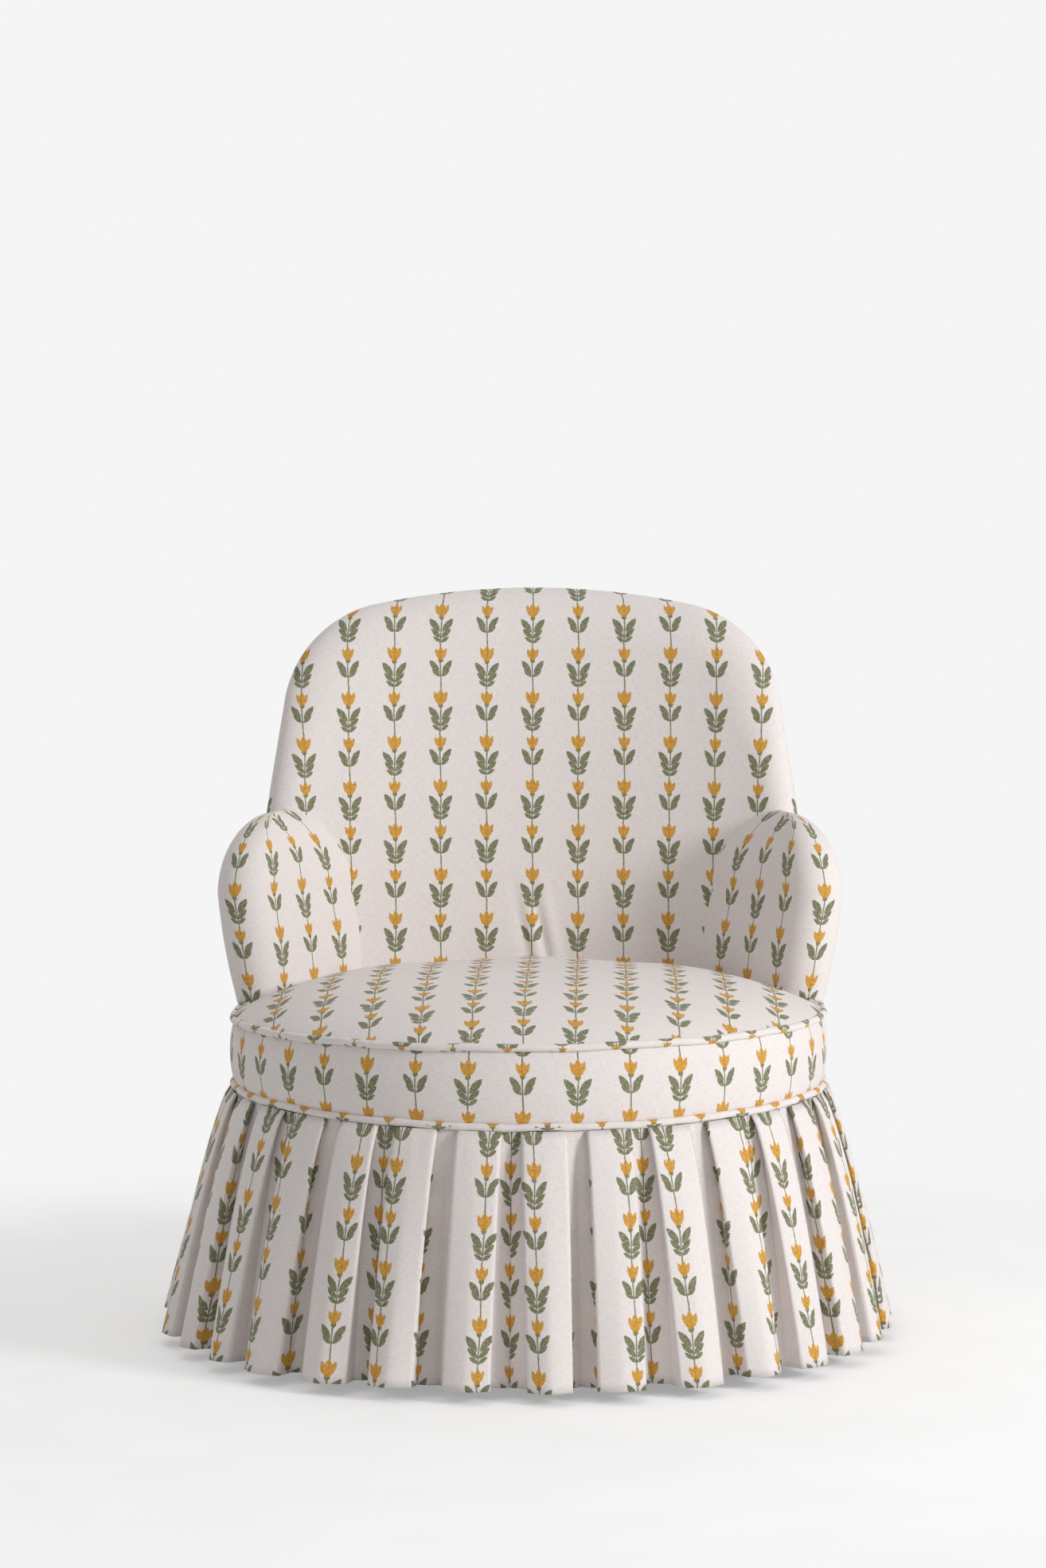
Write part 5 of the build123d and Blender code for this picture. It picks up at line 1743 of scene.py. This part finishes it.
@dataclass
class Studio:
    """The plain pale room: floor, lamps and the camera where the photograph was taken from."""

    lens: float = 95.0
    sensor: float = 36.0
    camera_place: Place = (0.0855, -4.782, 0.918)
    camera_pitch: float = 0.058
    camera_turn: float = 0.0192
    pale: Colour = (245, 245, 245)
    floor_half: float = 30.0
    clear_from: float = 0.75
    clear_to: float = 1.5
    shadow_share: float = 0.8
    near_glow: float = 0.37
    ambient: float = 0.46
    ambient_tint: tuple[float, ...] = (1.0, 0.99, 0.98, 1.0)
    floor_light: Colour = (240, 240, 240)
    floor_dark: Colour = (236, 236, 236)
    floor_grain: float = 9.0
    floor_detail: float = 3.0
    floor_range: Pair = (0.3, 0.7)
    floor_roughness: float = 0.9
    aim: Place = (0.0, 0.0, 0.45)
    lamps: tuple[Lamp, ...] = (
        Lamp("key lamp", (3.2, -2.1, 1.75), 1.0, 90.0),
        Lamp("top lamp", (0.0, -0.3, 3.0), 1.8, 5.0),
        Lamp("rear lamp", (-0.8, 2.6, 2.8), 2.2, 16.0),
    )

    def build(self) -> None:
        """Sets up the camera, the lamps, the world and the floor."""
        scene = bpy.context.scene
        scene.view_settings.view_transform = "Standard"
        eye = bpy.data.cameras.new("camera")
        eye.lens = self.lens
        eye.sensor_width = self.sensor
        camera = add_object("camera", eye)
        camera.location = self.camera_place
        camera.rotation_euler = (math.pi / 2 - self.camera_pitch, 0.0, self.camera_turn)
        scene.camera = camera
        for lamp in self.lamps:
            self.hang(lamp)
        self.world()
        self.floor()

    def hang(self, lamp: Lamp) -> None:
        """Hangs one lamp that points at the chair.

        Args:
            lamp: the lamp.
        """
        light = bpy.data.lights.new(lamp.name, "AREA")
        light.size = lamp.size
        light.energy = lamp.power
        hung = add_object(lamp.name, light)
        hung.location = lamp.place
        aim = np.array(self.aim) - np.array(lamp.place)
        level = math.hypot(aim[0], aim[1])
        hung.rotation_euler = (math.atan2(level, -aim[2]), 0.0, math.atan2(-aim[0], aim[1]))

    def seen(self, desk: NodeDesk) -> Value:
        """Says 1 where the camera sees the room, directly or in a mirror or glass."""
        path = desk.add("ShaderNodeLightPath").outputs
        return desk.largest(path["Is Camera Ray"], path["Is Glossy Ray"], path["Is Transmission Ray"])

    def choose(self, desk: NodeDesk, share: Value, shaders: tuple[Node, Node], end: Node) -> None:
        """Ends a tree with a mixture of two shaders.

        Args:
            desk: the tree's desk.
            share: how much of the second one shows.
            shaders: the two.
            end: the tree's last node.
        """
        choice = desk.add("ShaderNodeMixShader")
        for socket, value in zip(choice.inputs, (share, *(shader.outputs[0] for shader in shaders))):
            desk.feed(socket, value)
        desk.feed(end.inputs["Surface"], choice.outputs[0])

    def world(self) -> None:
        """Makes the pale surround and the soft light from all round."""
        world = bpy.data.worlds.new("studio")
        world.use_nodes = True
        desk = NodeDesk(world.node_tree)
        nodes = world.node_tree.nodes
        shown = desk.fill(nodes["Background"], {"Color": linear(*self.pale)})
        soft = desk.add("ShaderNodeBackground", {"Color": self.ambient_tint, "Strength": self.ambient})
        self.choose(desk, self.seen(desk), (soft, shown), nodes["World Output"])
        bpy.context.scene.world = world

    def floor(self) -> None:
        """Lays the pale floor, which keeps the chair's shadow and fades into the surround."""
        half = self.floor_half
        mesh = bpy.data.meshes.new("floor")
        corners = [(-half, -half, 0.0), (half, -half, 0.0), (half, half, 0.0), (-half, half, 0.0)]
        mesh.from_pydata(corners, [], [(0, 1, 2, 3)])
        floor = add_object("floor", mesh)
        material, desk, shader = new_material("pale floor")
        x, y, _ = desk.parts(desk.add("ShaderNodeTexCoord").outputs["Object"])
        far = desk.math("SQRT", desk.total(desk.math("POWER", x, 2.0), desk.math("POWER", y, 2.0)))
        grain = desk.noise(desk.vector(x, y), self.floor_grain, self.floor_detail)
        light = desk.ramp(grain, *self.floor_range)
        tone = desk.mix(light, linear(*self.floor_dark), linear(*self.floor_light))
        desk.fill(shader, {"Base Color": tone, "Roughness": self.floor_roughness})
        clear = desk.ramp(far, self.clear_from, self.clear_to, 1.0 - self.shadow_share, 1.0)
        lift = desk.ramp(far, self.clear_from, self.clear_to, self.near_glow, 1.0)
        values = {"Color": linear(*self.pale), "Strength": desk.math("DIVIDE", lift, clear)}
        glow = desk.add("ShaderNodeEmission", values)
        share = desk.times(clear, self.seen(desk))
        self.choose(desk, share, (shader, glow), material.node_tree.nodes["Material Output"])
        mesh.materials.append(material)


FINISHES = {
    "hardwood": PlainFinish("pale hardwood", (205, 172, 128), (171, 134, 92), Pattern.GRAIN, 60.0, 0.55),
    "stained_legs": PlainFinish("dark stained wood", (74, 46, 30), (44, 27, 18), Pattern.GRAIN, 70.0, 0.38),
    "plywood": PlainFinish("plywood", (214, 184, 140), (180, 146, 102), Pattern.GRAIN, 45.0, 0.6),
    "hardboard": PlainFinish("hardboard", (128, 92, 62), (100, 70, 46), Pattern.SPECKLE, 400.0, 0.6),
    "zinc_steel": PlainFinish(
        "zinc plated steel", (196, 198, 200), (160, 163, 168), Pattern.SPECKLE, 220.0, 0.34, 1.0, 0.0001
    ),
    "nylon": PlainFinish("black nylon", (44, 44, 46), (28, 28, 30), Pattern.SPECKLE, 300.0, 0.45),
    "foam": PlainFinish("cream foam", (236, 224, 190), (222, 207, 168), Pattern.SPECKLE, 500.0, 0.95),
    "wadding": PlainFinish("white wadding", (240, 240, 238), (224, 224, 222), Pattern.SPECKLE, 240.0, 0.95),
    "felt": PlainFinish("grey felt", (150, 148, 146), (118, 116, 114), Pattern.SPECKLE, 260.0, 0.95),
    "webbing": PlainFinish("jute webbing", (190, 160, 112), (150, 120, 78), Pattern.WEAVE, 2600.0, 0.9),
    "dust_cloth": PlainFinish("black dust cloth", (48, 48, 50), (30, 30, 32), Pattern.WEAVE, 3200.0, 0.9),
    "piping_cord": PlainFinish(
        "cotton piping cord", (232, 226, 212), (206, 198, 180), Pattern.WEAVE, 2200.0, 0.9
    ),
    "card": PlainFinish("grey card", (186, 176, 160), (164, 154, 138), Pattern.SPECKLE, 320.0, 0.85),
}
THREAD = PlainFinish("sewing thread", (226, 218, 208), (196, 186, 172), Pattern.SPECKLE, 900.0, 0.7)


def dress_frame(cloth: Material) -> None:
    """Gives every CAD node that stays a finish of its own slot.

    Args:
        cloth: the printed cloth's material.
    """
    made = {slot: finish.build() for slot, finish in FINISHES.items()}
    made[CLOTH_SLOT] = cloth
    for part in frame["record"]["subparts"]:
        mesh = frame["nodes"][part["node"]].data
        mesh.materials.clear()
        mesh.materials.append(made[part["material_slot"]])


def main() -> None:
    """Builds the chair's covers in order, dresses the frame and sets up the studio."""
    logging.basicConfig(level=logging.INFO, format="%(message)s")
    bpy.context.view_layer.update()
    Studio().build()
    cloth = PrintedCloth().build()
    plan = SeatPlan()
    back = Back(plan)
    arms = Arms()
    seat = Seat(plan, back, arms)
    back.build(cloth)
    arms.build(cloth)
    seat.build_top(cloth)
    seat.build_border(cloth)
    seat.build_welt("upper_welt", True, cloth)
    seat.build_welt("lower_welt", False, cloth)
    skirt = Skirt(plan)
    skirt_cloth, hem_line = skirt.build(cloth)
    thread = THREAD.build()
    stitching = Stitching()
    outward = hem_line[:, :2] / np.linalg.norm(hem_line[:, :2], axis=1, keepdims=True)
    hem_line[:, :2] += outward * stitching.lift
    stitching.build("hem_stitches", [hem_line], thread)
    seam = arms.seam(back)
    stitching.build("arm_seam_stitches", [seam, seam * np.array([-1.0, 1.0, 1.0])], thread)
    dress_frame(cloth)


if __name__ == "__main__":
    main()
